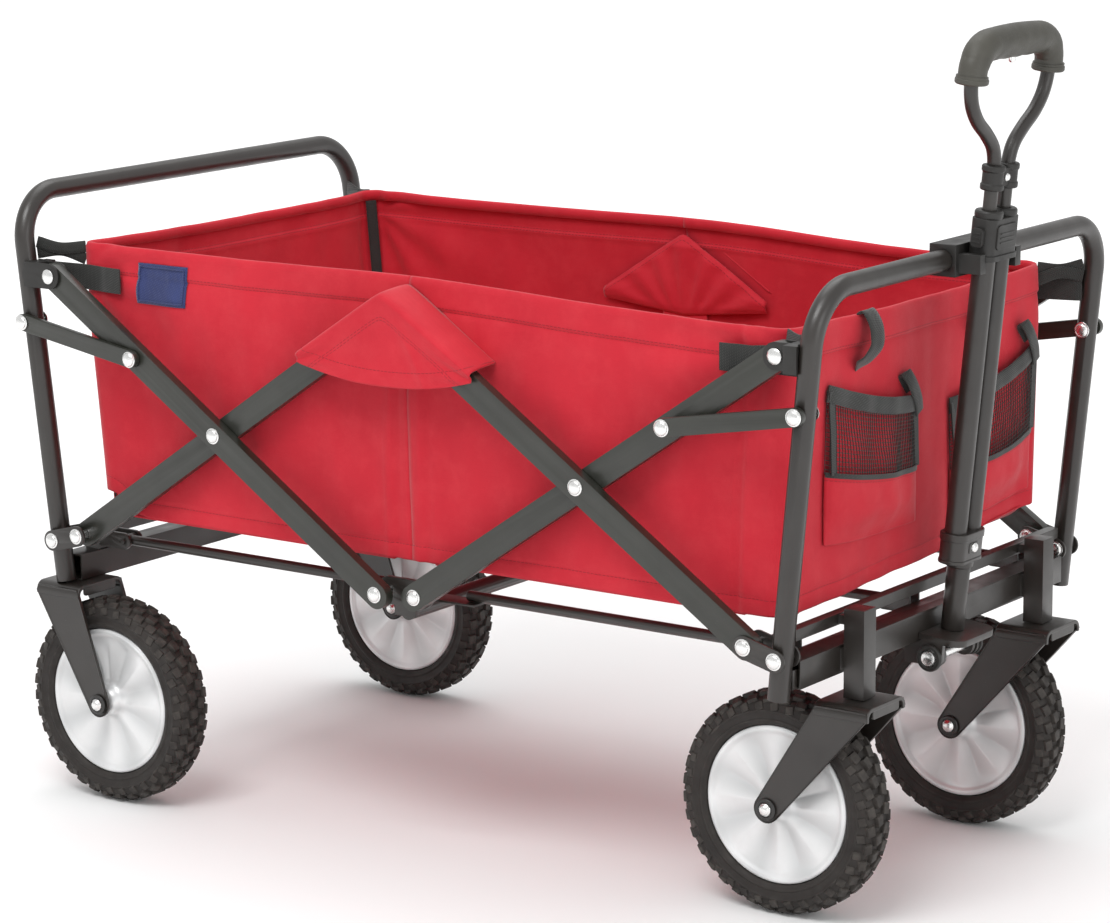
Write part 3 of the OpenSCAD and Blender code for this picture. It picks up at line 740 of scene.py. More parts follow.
def add_lug(bm, size, matrix):
    """Tread block: a box that narrows towards its worn top."""
    x, y, z = (s / 2 for s in size)
    verts = []
    for up, k in ((-z, 1.0), (z, 0.86)):
        for a, b in ((-x, -y), (x, -y), (x, y), (-x, y)):
            verts.append(bm.verts.new(matrix @ Vector((a * k, b * k, up))))
    for face in ((0, 3, 2, 1), (4, 5, 6, 7), (0, 1, 5, 4), (1, 2, 6, 5), (2, 3, 7, 6),
                 (3, 0, 4, 7)):
        bm.faces.new([verts[i] for i in face])


def make_tyre(name, node, body):
    lo, hi = box_mm(node)
    centre = (lo + hi) / 2
    bm = bmesh.new()
    profile = TYRE_SIDE + [(r, -y) for r, y in TYRE_SIDE[-2::-1]]
    add_lathe(bm, profile + [profile[0]], centre, steps=144)
    pitches = 36
    for i in range(pitches):
        for y, shift, lean, size, reach in (
                (-5.3, 0.0, 0, (11.6, 9.4, 5.0), 97.4), (5.3, 0.5, 0, (11.6, 9.4, 5.0), 97.4),
                (-14.1, 0.5, 27, (11.0, 8.4, 5.0), 94.8), (14.1, 0.0, -27, (11.0, 8.4, 5.0), 94.8),
                (-18.7, 0.0, 68, (8.6, 8.2, 2.8), 89.2), (18.7, 0.5, -68, (8.6, 8.2, 2.8), 89.2)):
            turn = Matrix.Rotation(2 * math.pi * (i + shift) / pitches, 4, "Y")
            skew = Matrix.Rotation(math.radians(14 if y < 0 else -14), 4, "Z")
            tilt = Matrix.Rotation(math.radians(lean), 4, "X")
            add_lug(bm, size, Matrix.Translation(centre) @ turn
                    @ Matrix.Translation((0, y, reach)) @ tilt @ skew)
    piece(name, bm, RUBBER, body, [node], bevel=(0.55, 1, 40))


DISC_SIDE = [(4.1, 23.6), (8.5, 23.8), (11.5, 23.2), (13.6, 21.4), (14.8, 18.0), (16.5, 15.0),
             (20.0, 13.2), (25.0, 12.4), (31.0, 12.0), (38.0, 12.0), (45.0, 12.2), (52.0, 12.7),
             (58.0, 13.4), (62.5, 14.2), (64.5, 14.9), (66.0, 16.2), (67.8, 17.0), (69.8, 16.9),
             (71.0, 15.8), (71.4, 12.0)]


def petal(angle, r):
    """Slope of the disc's pressed facets at an angle and radius."""
    part = (angle / (2 * math.pi) * PETALS) % 1.0
    ridge = abs(2 * part - 1) - 0.5
    return 3.6 * ridge * smooth((r - 15) / 14) * (1 - smooth((r - 55) / 9))


def make_disc(name, node, body):
    lo, hi = box_mm(node)
    centre = (lo + hi) / 2
    bm = bmesh.new()
    for way in (-1, 1):
        add_lathe(bm, [(r, way * h) for r, h in DISC_SIDE], centre, steps=144,
                  wobble=lambda a, r, way=way: way * petal(a, r))
    add_lathe(bm, [(71.4, -12.0), (71.4, 12.0)], centre, steps=144)
    add_lathe(bm, [(4.1, -23.6), (4.1, 23.6)], centre, steps=144)
    bmesh.ops.remove_doubles(bm, verts=bm.verts, dist=0.01)
    piece(name, bm, SILVER, body, [node], sharp=40)


def arch(middle, half, z, r):
    """Two quarter bends of radius r, half each side of the middle, from near to far."""
    bends = [(math.cos(math.radians(15 * a)), math.sin(math.radians(15 * a))) for a in range(7)]
    near = [(middle - half + r - r * c, z + r * s) for c, s in bends]
    return near + [(middle + half - r + r * c, z + r * s) for c, s in bends[::-1]]


def make_fork(name, nodes, body, crown_x, axle, tops):
    """Pressed fork: a bent crown with two embossed arms that narrow to the axle."""
    ax, az = axle
    bm = bmesh.new()
    for yc, top in tops:
        for way in (-1, 1):
            y_in, y_out = yc + way * 28.4, yc + way * 32.2
            outline = hull2d(circle(12.6, a=ax, b=az)
                             + circle(17.5, a=lerp(crown_x, ax, 0.16), b=top - 27)
                             + [(crown_x - 27, top - 9), (crown_x + 27, top - 9),
                                (crown_x - 25, top - 3), (crown_x + 25, top - 3)])
            flat = add_prism(bm, outline, y_in, y_out)[1]
            for inset in (4.2, 1.4):
                bmesh.ops.inset_region(bm, faces=[flat], thickness=inset, use_even_offset=True)
            bmesh.ops.translate(bm, verts=flat.verts, vec=(0, -way * 1.1, 0))
        outer, inner = arch(yc, 32.2, top - 9, 9), arch(yc, 28.4, top - 9.2, 5.4)
        crown = [(yc - 32.2, top - 12), *outer, (yc + 32.2, top - 12),
                 (yc + 28.4, top - 12), *inner[::-1], (yc - 28.4, top - 12)]
        add_prism(bm, crown, crown_x - 27, crown_x + 27, "YZ")
        for x in (crown_x - 26.8, crown_x + 24.0):
            add_prism(bm, round_rect(yc - 22, yc + 22, top - 11, top - 1.5, 3), x, x + 2.8, "YZ")
        add_lathe(bm, [(0, top - 11), (5.5, top - 11), (8, top - 9.5), (8, top - 6), (17, top - 6),
                       (19, top - 5), (19, top - 1)], (crown_x, yc, 0), "Z", 40)
        add_lathe(bm, [(6.0, top - 1), (6.0, top + 26)] if body != "rear_frame" else
                  [(6.0, top - 2), (6.0, top - 1)], (crown_x, yc, 0), "Z", 32)
    piece(name, bm, FRAME_COAT, body, nodes, bevel=(0.9, 2, 38))


def make_wheels():
    for end in ("rear", "front"):
        for _, side in SIDES:
            body = f"{end}_wheel_{side}"
            make_tyre(f"tyre_{end}_{side}", f"{end}_tyre_{side}", body)
            make_disc(f"disc_{end}_{side}", f"{end}_disc_{side}", body)
    lo, hi = box_mm("rear_forks")
    axle = joint_mm("rear_near_spin")
    make_fork("rear_fork_pair", ["rear_forks"], "rear_frame", lo.x + 27, (axle.x, axle.z),
              [(axle.y, hi.z), (-axle.y, hi.z)])
    for _, side in SIDES:
        axle, king = joint_mm(f"front_{side}_spin"), joint_mm(f"{side}_swivel")
        make_fork(f"caster_{side}_fork", [f"caster_fork_{side}"], f"caster_{side}", king.x,
                  (axle.x, axle.z), [(king.y, king.z - 0.7)])


# ---- handle ----

TILT = joint_mm("handle_tilt")
SLIDE = JOINTS["handle_extend"]["axis"]
PARKED = Matrix.Translation(TILT) @ Matrix.Rotation(math.atan2(SLIDE[0], SLIDE[2]), 4, "Y")
TUBE_Y = 12.5
COLLAR = (84, 112)
LATCH = (358, 400)
CLAMP_Z = 430
GRIP_Z = 548
GRIP_Y = 67.5


def parked(bm):
    """Moves a drawing made upright over the tilt pin into the parked pose."""
    bmesh.ops.transform(bm, matrix=PARKED, verts=bm.verts)
    return bm


def make_handle_tubes():
    bm = bmesh.new()
    for y in (-TUBE_Y, TUBE_Y):
        add_lathe(bm, [(9.9, COLLAR[1] - 8), (9.9, LATCH[0] + 4)], (0, y, 0), "Z", 40)
    piece("outer_tubes", parked(bm), FRAME_COAT, "handle", ["handle_outer_tubes"])
    bm = bmesh.new()
    lower, upper = COLLAR
    add_prism(bm, round_rect(-12.4, 12.4, -24.6, 24.6, 11.5, 8), lower + 3, upper - 6, "XY")
    add_prism(bm, round_rect(-13.4, 13.4, -25.6, 25.6, 12.5, 8), upper - 7, upper, "XY")
    add_prism(bm, round_rect(-13.0, 13.0, -25.2, 25.2, 12, 8), lower, lower + 3.5, "XY")
    add_prism(bm, round_rect(-8, 8, lower + 9, upper - 9, 2.5), 11.5, 13.2, "YZ")
    add_lathe(bm, [(11.0, lower - 6), (12.4, lower - 5), (12.8, lower + 1)], (0, 0, 0), "Z", 40)
    piece("tube_collar", parked(bm), FRAME_COAT, "handle", bevel=(0.9, 2, 30))
    bm = bmesh.new()
    add_lathe(bm, [(4.6, 12.6), (4.6, 13.9), (3.9, 15.2), (2.2, 16.1), (0, 16.4)],
              (0, 0, (lower + upper) / 2), "X", 28)
    piece("collar_rivet", parked(bm), ZINC, "handle")


def make_loop():
    bm = bmesh.new()
    for s in (-1, 1):
        path = [(0, s * TUBE_Y, 134), (0, s * TUBE_Y, 250), (0, s * TUBE_Y, CLAMP_Z - 14)]
        path += curve([(0, s * TUBE_Y, CLAMP_Z), (0, s * 12.8, CLAMP_Z + 13),
                       (0, s * 18.5, CLAMP_Z + 27), (0, s * 33, CLAMP_Z + 40),
                       (0, s * 50, CLAMP_Z + 52), (0, s * 62, CLAMP_Z + 66),
                       (0, s * GRIP_Y, GRIP_Z - 36), (0, s * GRIP_Y, GRIP_Z - 20)], 6)
        add_sweep(bm, path, circle(6.2, 28), (1, 0, 0))
    piece("loop_rods", parked(bm), FRAME_COAT, "handle_slide", ["handle_loop"])
    bm = bmesh.new()
    for s in (-1, 1):
        add_lathe(bm, [(6.4, CLAMP_Z - 11), (9.4, CLAMP_Z - 11), (10.4, CLAMP_Z - 10),
                       (10.4, CLAMP_Z - 6), (9.4, CLAMP_Z - 5), (9.4, CLAMP_Z + 5),
                       (10.4, CLAMP_Z + 6), (10.4, CLAMP_Z + 10), (9.4, CLAMP_Z + 11),
                       (6.4, CLAMP_Z + 11)], (0, s * TUBE_Y, 0), "Z", 36)
    add_prism(bm, round_rect(-8, 8, CLAMP_Z - 8, CLAMP_Z + 8, 3), -6.5, 6.5, "YZ")
    piece("loop_clamp", parked(bm), BLACK, "handle_slide", bevel=(0.6, 2, 40))
    bm = bmesh.new()
    for way in (-1, 1):
        add_lathe(bm, [(0, way * 6.4), (3.6, way * 6.4), (3.6, way * 7.6), (2.6, way * 8.8),
                       (0, way * 9.2)], (0, 0, CLAMP_Z), "X", 28)
    piece("clamp_screw", parked(bm), ZINC, "handle_slide")


def grip_path():
    pts = []
    for s in (-1, 1):
        half = [(0, s * GRIP_Y, GRIP_Z - 29), (0, s * (GRIP_Y - 0.6), GRIP_Z - 19)]
        for a in range(1, 7):
            t = math.radians(15 * a)
            half.append((0, s * (GRIP_Y - 26 + 24 * math.cos(t)), GRIP_Z - 19 + 19 * math.sin(t)))
        half.append((0, s * 20, GRIP_Z + 1.0))
        pts.append(half)
    return curve(pts[0] + [(0, 0, GRIP_Z + 1.4)] + pts[1][::-1], 4)


def make_grip():
    bm = bmesh.new()
    path = grip_path()
    n = len(path)
    uv_layer(bm)
    rings = []
    for i, (p, side, up) in enumerate(frames_along(path, (1, 0, 0))):
        t = i / (n - 1)
        end = min(t, 1 - t) * 2
        swell = 0.93 + 0.07 * smooth(end * 2.2)
        flare = 1.12 if end < 0.025 else (1.0 if end > 0.05 else 1.06)
        belly = 2.6 * math.exp(-((t - 0.5) / 0.12) ** 2)
        ribs = 0.35 * math.cos(i * 1.55) if 0.3 < t < 0.7 else 0.0
        ring = []
        for k in range(32):
            a = 2 * math.pi * k / 32
            r = 13.4 * swell * flare
            inward = max(0.0, math.cos(a))
            down = p + side * math.cos(a) * (r + inward * (belly + ribs)) + up * math.sin(a) * r
            ring.append(bm.verts.new(down))
        rings.append(ring)
    for i in range(n - 1):
        for k in range(32):
            m = (k + 1) % 32
            bm.faces.new((rings[i][k], rings[i][m], rings[i + 1][m], rings[i + 1][k]))
    for ring in (rings[0], rings[-1]):
        face = bm.faces.new(ring)
        bmesh.ops.inset_region(bm, faces=[face], thickness=5.6)
        bmesh.ops.translate(bm, verts=face.verts, vec=(0, 0, 4))
    piece("grip_cover", parked(bm), GRIP, "handle_slide", ["handle_grip"],
          sharp=50)
    bm = bmesh.new()
    for s in (-1, 1):
        add_lathe(bm, [(6.4, GRIP_Z - 32), (13.4, GRIP_Z - 32), (14.6, GRIP_Z - 31),
                       (14.6, GRIP_Z - 27.5), (13.4, GRIP_Z - 26.5), (6.4, GRIP_Z - 26.5)],
                  (0, s * GRIP_Y, 0), "Z", 36)
    bm2 = bmesh.new()
    add_lathe(bm2, [(0, GRIP_Z - 19.6), (2.0, GRIP_Z - 19.2), (3.1, GRIP_Z - 17.8),
                    (3.1, GRIP_Z - 12)], (0, 0, 0), "Z", 24)
    piece("grip_screw", parked(bm2), ZINC, "handle_slide")
    piece("grip_end_rings", parked(bm), GRIP, "handle_slide", bevel=(0.5, 2, 40))


def make_latch():
    lower, upper = LATCH
    bm = bmesh.new()
    add_prism(bm, round_rect(-12.2, 12.2, -25.6, 25.6, 9, 8), lower + 4, upper - 5, "XY")
    add_prism(bm, round_rect(-13.4, 13.4, -27.2, 27.2, 10, 8), lower, lower + 5, "XY")
    for s in (-1, 1):
        add_lathe(bm, [(6.5, upper - 6), (12.0, upper - 6), (12.6, upper - 3), (12.6, upper),
                       (11.4, upper + 1.6), (6.8, upper + 1.6), (6.5, upper)],
                  (0, s * TUBE_Y, 0), "Z", 40)
    add_prism(bm, round_rect(-17, 17, lower + 10, upper - 10, 4), 11.6, 13.4, "YZ")
    add_prism(bm, round_rect(-17, 17, lower + 10, upper - 10, 4), -13.4, -11.6, "YZ")
    for z in (lower + 15.5, lower + 19.5, lower + 23.5):
        add_prism(bm, round_rect(-12, 12, z, z + 1.6, 0.7, 3), 13.0, 14.1, "YZ")
    piece("latch_housing", parked(bm), BLACK, "handle", ["latch_body"],
          bevel=(0.9, 2, 32))
    bm = bmesh.new()
    add_prism(bm, round_rect(-5.4, 5.4, lower + 12.6, lower + 29.4, 3.2), -30.6, -24.8)
    for z in (lower + 16.4, lower + 20.2, lower + 24.0):
        add_prism(bm, round_rect(-3.8, 3.8, z, z + 1.5, 0.7, 3), -31.3, -30.2)
    piece("latch_push", parked(bm), BLACK, "latch", ["latch_button"],
          bevel=(0.6, 2, 40))


def make_tilt_bolt():
    bm, ring = bmesh.new(), bmesh.new()
    add_lathe(bm, [(4.9, -36), (4.9, 36)], (0, 0, 0), steps=28)
    for way in (-1, 1):
        add_lathe(bm, [(4.9, 36 * way), (7.4, 36 * way), (7.4, 38.6 * way), (6.4, 40.4 * way),
                       (4.0, 41.4 * way), (0, 41.6 * way)], (0, 0, 0), steps=36)
        add_lathe(ring, [(5.0, 35.1 * way), (11.6, 35.1 * way), (12.2, 35.8 * way),
                         (12.2, 38.2 * way), (11.2, 39.4 * way), (9.0, 39.4 * way),
                         (7.8, 38.2 * way), (5.0, 38.0 * way)], (0, 0, 0), steps=40)
    piece("tilt_pin", parked(bm), ZINC, "handle", ["handle_bolt"])
    piece("tilt_rings", parked(ring), BLACK, "handle", sharp=45)


# ---- basket ----

LO_SIDE, HI_SIDE = box_mm("side_panel_near")
LO_REAR, HI_REAR = box_mm("rear_panel")
LO_FRONT, HI_FRONT = box_mm("front_panel")
WALL_Y = -(LO_SIDE.y + HI_SIDE.y) / 2
REAR_X = (LO_REAR.x + HI_REAR.x) / 2
FRONT_X = (LO_FRONT.x + HI_FRONT.x) / 2
RIM = HI_SIDE.z
HEM = LO_SIDE.z
HEM_BAND = 26.5  # depth of the rim's turned hem
LOW_BAND = 15.0  # height of the lower hem
LEG_Y = 237.5
CORNER = 20.0  # radius of the basket's upright corners
HUB_TOP, HUB_LOW, HUB_HALF = 530, 446, 104  # the triangle sewn over a top hub


def rim_height(x, y):
    """The rim sags a little between its ties and drops towards the front."""
    drop = 12.0 * smooth((x + 30) / 440) if x > -30 else 0.0
    tie = 1.6 * math.sin(math.pi * clamp((x - REAR_X) / (FRONT_X - REAR_X)) * 2) ** 2
    sag = 3.5 * (1 - (y / WALL_Y) ** 2) if abs(x) > 380 else 0.0
    return RIM + 1.0 - drop - tie - sag


def hem_height(x, y):
    """The lower edge turns up at the rear corners and rises along the front."""
    up = 21.0 * smooth((-325 - x) / 62) ** 1.4
    if x > 250:
        t = (y + WALL_Y) / WALL_Y
        up += (7 * clamp(t) + 15 * clamp(t - 1)) * smooth((x - 250) / 140)
    return HEM + up


def gather(made):
    """Gives a piece of cloth its own copy of its mesh."""
    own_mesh(made)


def hub_tent(x, z):
    """0 to 1 inside the triangle that is sewn over the top hub."""
    edge = HUB_TOP - 0.66 * abs(x) - z
    return smooth(edge / 9) * smooth((z - HUB_LOW) / 16) * smooth((HUB_HALF - abs(x)) / 12)


def up_wall(z):
    """0 at the hem and 1 at the rim."""
    return clamp((z - HEM) / (RIM - HEM))


def wall_bulge(x, z, side):
    """How far the side cloth stands out from its flat, millimetres."""
    v = up_wall(z)
    free = smooth((-REAR_X - abs(x)) / 60)
    n = noise.fractal(Vector((x / 135 + 7 * side, z / 190, 3.1 * side)), 1.0, 2.0, 3) * 5.2
    n += noise.noise(Vector(((x + 0.15 * z) / 27, z / 230, 9.0 + side))) * 1.9
    belly = 2.6 * math.sin(math.pi * v) * math.cos(x / 118)
    out = (n + belly) * free * (0.35 + 0.65 * math.sin(math.pi * clamp(v * 0.93 + 0.03)))
    # pleats that hang below the hub
    for px, deep in ((-21, 2.4), (14, 2.0)):
        lean = px + (z - 440) * 0.03
        out += deep * math.exp(-((x - lean) / 4.2) ** 2) * (1 - smooth((z - 430) / 50))
        out -= deep * 0.8 * math.exp(-((x - lean - 8) / 4.6) ** 2) * (1 - smooth((z - 430) / 50))
    # pulls that run from the corner ties
    for cx, cz, way in ((-392, 520, 1), (392, 512, -1)):
        dx, dz = (x - cx) * way, cz - z
        r = math.hypot(dx, dz) + 1
        ang = math.atan2(dz, max(dx, 1e-3))
        fall = math.exp(-((r - 90) / 120) ** 2) * smooth(r / 40)
        out += 1.9 * fall * math.sin(ang * 11 + side)
    out += 1.2 * hub_tent(x, z)
    # the upright seam by the front tie
    out -= 2.2 * math.exp(-((x - 352) / 3.2) ** 2)
    out += 1.2 * math.exp(-((x - 360) / 4.0) ** 2)
    return clamp(out, lerp(-1.4, -6.0, smooth((abs(x) - 100) / 60)), 6.5)


def band_rise(below_rim, along):
    """The turned hem at the rim: a soft roll with a puckered, pressed line under it."""
    roll = 1.3 * smooth(below_rim / 4) * (1 - smooth((below_rim - HEM_BAND + 3) / 5))
    pucker = 0.7 * noise.noise(Vector((along / 5.5, 3.0, 1.0)))
    pucker *= math.exp(-((below_rim - HEM_BAND) / 9) ** 2)
    tuck = -3.4 * (1 - smooth(below_rim / 55))
    return roll + pucker + tuck - 1.3 * math.exp(-((below_rim - HEM_BAND) / 1.8) ** 2)


def side_y(x, z, side, offset=0.0):
    """Y of the side cloth's outer face."""
    return side * (WALL_Y + wall_bulge(x, z, side)
                   + band_rise(rim_height(x, side * WALL_Y) - z, x) + offset)


def lining_y(z, side, offset=0.0):
    """Y of the cloth that lies inside the side walls by the hubs."""
    return side * (WALL_Y + band_rise(RIM - z, 0) - 3.5 + offset)


def end_lean(sign, v):
    """The end walls lean in towards the floor."""
    return (1 - v) * (22 if sign < 0 else 4.5)


def end_bulge(y, z, sign):
    v = up_wall(z)
    n = noise.fractal(Vector((y / 120 + 4 * sign, z / 160, 1.7 * sign)), 1.0, 2.0, 3) * 4.6
    n += noise.noise(Vector((y / 27, z / 210, 5.0 + sign))) * 1.6
    return (n - 2.5 * math.sin(math.pi * v)) * smooth((WALL_Y - abs(y)) / 50)


def half_outline(sign):
    """Plan of one half of the basket: (place, position) steps from the near middle round the
    end to the far middle."""
    end = FRONT_X if sign > 0 else -REAR_X
    long, wide, bend = 78, 70, 8
    near = [("side", -1, sign * (end - CORNER) * i / long) for i in range(long)]
    near += [("corner", -1, math.radians(90 * i / bend)) for i in range(bend + 1)]
    across = [("end", 0, (WALL_Y - CORNER) * (2 * i / wide - 1)) for i in range(1, wide)]
    return near + across + [(kind, 1, at) for kind, _, at in near[::-1]]


def wall_point(sign, step, share):
    """Point of a basket half at a step of its outline."""
    kind, side, at = step
    end = FRONT_X if sign > 0 else REAR_X
    if kind == "side":
        x, y = at, side * WALL_Y
    elif kind == "corner":
        x = end - sign * CORNER * (1 - math.sin(at))
        y = side * (WALL_Y - CORNER * (1 - math.cos(at)))
    else:
        x, y = end, at
    top, low = rim_height(x, y), hem_height(x, y)
    z = lerp(low, top, share)
    v = up_wall(z)
    below = top - z
    x -= sign * end_lean(sign, v) * smooth((abs(x) - 250) / (abs(end) - 250))
    roll = band_rise(below, x if kind == "side" else y)
    if kind == "side":
        y = side * (WALL_Y + wall_bulge(at, z, side) + roll)
    elif kind == "corner":
        s, c = math.sin(at), math.cos(at)
        x += sign * roll * s
        y += side * (roll + wall_bulge(end - sign * CORNER, z, side) * c) * c
    else:
        x += sign * (end_bulge(y, z, sign) + roll)
    return Vector((x, y, z))


def row_heights():
    """Shares of the wall's height, closer together at both hems."""
    tall = RIM - HEM
    below = [0, 1.5, 3.5, 7, 12, 17, 21, 23.5, 25.2, 26.5, 27.8, 29.5, 33]
    rows = [1 - b / tall for b in below]
    above = [0, 2, 5, 10, 13, 15, 17, 20]
    n = 32
    lowest, highest = above[-1] / tall, rows[-1]
    middle = [lerp(highest, lowest, (i + 1) / n) for i in range(n - 1)]
    return rows + middle + [a / tall for a in above[::-1]]


def hem_roll(p, share, sign, step):
    """Presses the sewn line of the lower hem."""
    mm_up = share * (RIM - HEM)
    press = 0.9 * math.exp(-((mm_up - LOW_BAND) / 1.8) ** 2)
    kind, side, _ = step
    if kind == "side":
        p.y -= side * press
    elif kind == "end":
        p.x -= sign * press
    return p


def turned_edge(sign, step):
    """The rim's cloth, folded over to the inside."""
    kind, side, at = step
    rim = wall_point(sign, step, 1.0)
    if kind == "side":
        inward = Vector((0, -side, 0))
    elif kind == "end":
        inward = Vector((-sign, 0, 0))
    else:
        inward = Vector((-sign * math.sin(at), -side * math.cos(at), 0))
    return [rim + inward * a + Vector((0, 0, b)) for a, b in ((3.0, -9), (3.0, -1.2), (1.7, 0.6))]


def make_wall(name, sign, body, nodes):
    steps, rows = half_outline(sign), row_heights()
    bm = bmesh.new()
    grid = [turned_edge(sign, s) + [hem_roll(wall_point(sign, s, r), r, sign, s) for r in rows]
            for s in steps]
    run = [path_length([col[0] for col in grid[:i + 1]]) for i in range(len(grid))]
    depth = [[(col[3].z - p.z) / 1000 for p in col] for col in grid]
    add_grid(bm, len(steps), len(grid[0]), lambda i, j: grid[i][j],
             lambda i, j: (run[i], depth[i][j]),
             lambda i, j: (run[i], depth[i][-1] - depth[i][j]))
    made = cloth(name, bm, body, 1.3, nodes, CLOTH)
    gather(made)


def path_length(path):
    return sum((b - a).length for a, b in zip(path, path[1:])) / 1000


def make_centre_strips():
    """Cloth behind the middle seam on each side, which covers the gap as the wagon folds."""
    for side, name in SIDES:
        bm = bmesh.new()
        nx, nz = 18, 30

        def at(i, j):
            x = lerp(-26, 26, i / (nx - 1))
            z = lerp(HEM + 3, 462, j / (nz - 1))
            return Vector((x, lining_y(z, side), z))
        add_grid(bm, nx, nz, at, even(0.00306, 0.0061))
        made = cloth("centre_strip_" + name, bm, "bottom_hub", 0.8)


def make_gussets():
    """Triangles sewn inside the side cloth behind the top hubs."""
    for side, name in SIDES:
        bm = bmesh.new()
        nx, nz = 61, 26
        low, half = 444, 96

        def at(i, j):
            x = lerp(-half, half, i / (nx - 1))
            top = 527 - 0.64 * (x * x + 9) ** 0.5
            t = j / (nz - 1)
            z = lerp(low + 0.108 * abs(x), top, t)
            edge = min((1 - t) * (top - low), t * (top - low))
            ang = math.atan2(z - low + 20, x)
            fan = 1.5 * math.sin(ang * 17) * smooth(edge / 12) * smooth((abs(x) + z - low) / 40)
            raised = 1.0 + 2.4 * smooth(edge / 7) + fan + 1.2 * smooth(edge / 30)
            y = lining_y(z, side, -max(raised, 0.9))
            return Vector((x, y, z))
        net = make_net(nx, nz, at)
        add_grid(bm, nx, nz, lambda i, j: net[i][j],
                 lambda i, j: (i * 2 * half / (nx - 1) / 1000, (net[i][-1].z - net[i][j].z) / 1000))
        made = cloth("gusset_" + name, bm, "bottom_hub", 1.0)
        area = sum(f.area for f in made.data.polygons)
        clamp(area, 0.0058, 0.0188)


def make_flaps():
    """Cloth sewn down both slopes over a top hub, open below where the bars come out."""
    lo, hi = box_mm("hub_flaps")
    out_y = hi.y
    half, low = hi.x, lo.z
    wide, tall = 49, 26
    for side, name in SIDES:
        bm = bmesh.new()

        def at(i, j):
            x = lerp(-half, half, i / (wide - 1))
            edge = RIM - 2.5 - 0.655 * (x * x + 16) ** 0.5
            bottom = low + 0.3 + 13 * (abs(x) / half) ** 2.2
            roof = [(WALL_Y + 0.6, edge), (WALL_Y + 8, edge + 0.2), (WALL_Y + 18, edge - 0.4),
                    (WALL_Y + 28, edge - 1.4), (out_y - 1.6, edge - 2.6),
                    (out_y + 0.4, edge - 6)]
            bottom = min(bottom, edge - 7.5)
            if j < len(roof):
                y, z = roof[j]
            else:
                t = (j - len(roof) + 1) / (tall - len(roof))
                z = lerp(roof[-1][1], bottom, t)
                y = out_y + 0.2 - 1.6 * math.sin(math.pi * t) - 1.4 * smooth(t)
            n = noise.fractal(Vector((x / 60, z / 44, 2.0 + side)), 1.0, 2.0, 3)
            y += 0.8 * n * smooth((j - 5) / 6)
            fold = 1.3 * math.exp(-((x - 0.8 * (edge - z) - 4) / 7) ** 2) * smooth((j - 6) / 8)
            pull = 1.1 * math.sin(math.atan2(z - low - 12, half + 8 - abs(x)) * 14)
            y += pull * smooth((abs(x) - 25) / 50) * smooth((j - 6) / 6) * smooth((half - abs(x)) / 14)
            return Vector((x, side * min(y + fold, out_y + 3.2), z))
        net = make_net(wide, tall, at)

        def uv(i, j):
            return (i * 2 * half / (wide - 1) / 1000, (net[i][0].z - net[i][j].z) / 1000)

        def low_uv(i, j):
            return (i * 2 * half / (wide - 1) / 1000, (net[i][j].z - net[i][-1].z) / 1000)
        add_grid(bm, wide, tall, lambda i, j: net[i][j], uv, low_uv)
        made = cloth("hub_cover_" + name, bm, "top_hub", 1.2, first("hub_flaps", side), CLOTH,
                     subdivide=1)
        area = sum(f.area for f in made.data.polygons)
        clamp(area, 0.0076, 0.0249)


def make_floor():
    """Cloth-covered floor boards on the rods, with a strip of cloth between them."""
    for node, body in (("floor_rear", "rear_rods"), ("floor_front", "front_rods")):
        lo, hi = box_mm(node)
        bm = bmesh.new()
        nx, ny = 60, 76

        def top(i, j):
            x, y = lerp(lo.x, hi.x, i / (nx - 1)), lerp(lo.y, hi.y, j / (ny - 1))
            edge = min(x - lo.x, hi.x - x, y - lo.y, hi.y - y)
            n = noise.fractal(Vector((x / 90, y / 90, 6.0)), 1.0, 2.0, 3) * 0.9
            rods = 0.5 * max(math.cos((y - r) / 26) ** 8 if abs(y - r) < 40 else 0
                             for r in (-200, 0, 200))
            z = hi.z - 1.2 * (1 - smooth(edge / 6)) - 0.8 * math.exp(-((edge - 14) / 2) ** 2)
            return Vector((x, y, z - 0.9 + (n + rods) * smooth(edge / 25)))
        add_grid(bm, nx, ny, top, even(0.0058, 0.0058))
        made = cloth(node + "_board", bm, body, 2.2, [node], offset=-1)
        body.split("_")[0] + "_floor_rods"
    lo, hi = box_mm("floor_centre")
    bm = bmesh.new()
    nx, ny = 12, 76

    def strip(i, j):
        x, y = lerp(lo.x, hi.x, i / (nx - 1)), lerp(lo.y, hi.y, j / (ny - 1))
        dip = 2.2 * (1 - (x / hi.x) ** 2) if hi.x else 0
        return Vector((x, y, hi.z - 0.6 - dip * smooth((WALL_Y - abs(y)) / 30)))
    add_grid(bm, nx, ny, strip, even(0.004, 0.0058))
    made = cloth("floor_hinge_cloth", bm, "bottom_hub", 0.9, ["floor_centre"])


def make_floor_lips():
    """Cloth from the end walls in to the floor boards."""
    for sign, body, node in ((-1, "rear_frame", "floor_rear"), (1, "front_frame", "floor_front")):
        lo, hi = box_mm(node)
        inner = lo.x if sign < 0 else hi.x
        end = FRONT_X if sign > 0 else REAR_X
        bm = bmesh.new()
        nx, ny = 8, 70

        def at(i, j):
            t = i / (nx - 1)
            half = WALL_Y - 4 - (CORNER - 3) * (1 - t) ** 3
            y = half * (2 * j / (ny - 1) - 1)
            x0 = end - sign * (end_lean(sign, 0) + 1.5)
            edge = hem_height(end, y)
            return Vector((lerp(x0, inner + sign * 1.0, t), y,
                           lerp(edge + 1.5, HEM + 1.5, smooth(t)) - 2.0 * math.sin(math.pi * t)))
        add_grid(bm, nx, ny, at, even(0.004, 0.0064))
        made = cloth("floor_edge_" + body.split("_")[0], bm, body, 1.0)
        gather(made)


# ---- straps, patch, pockets ----

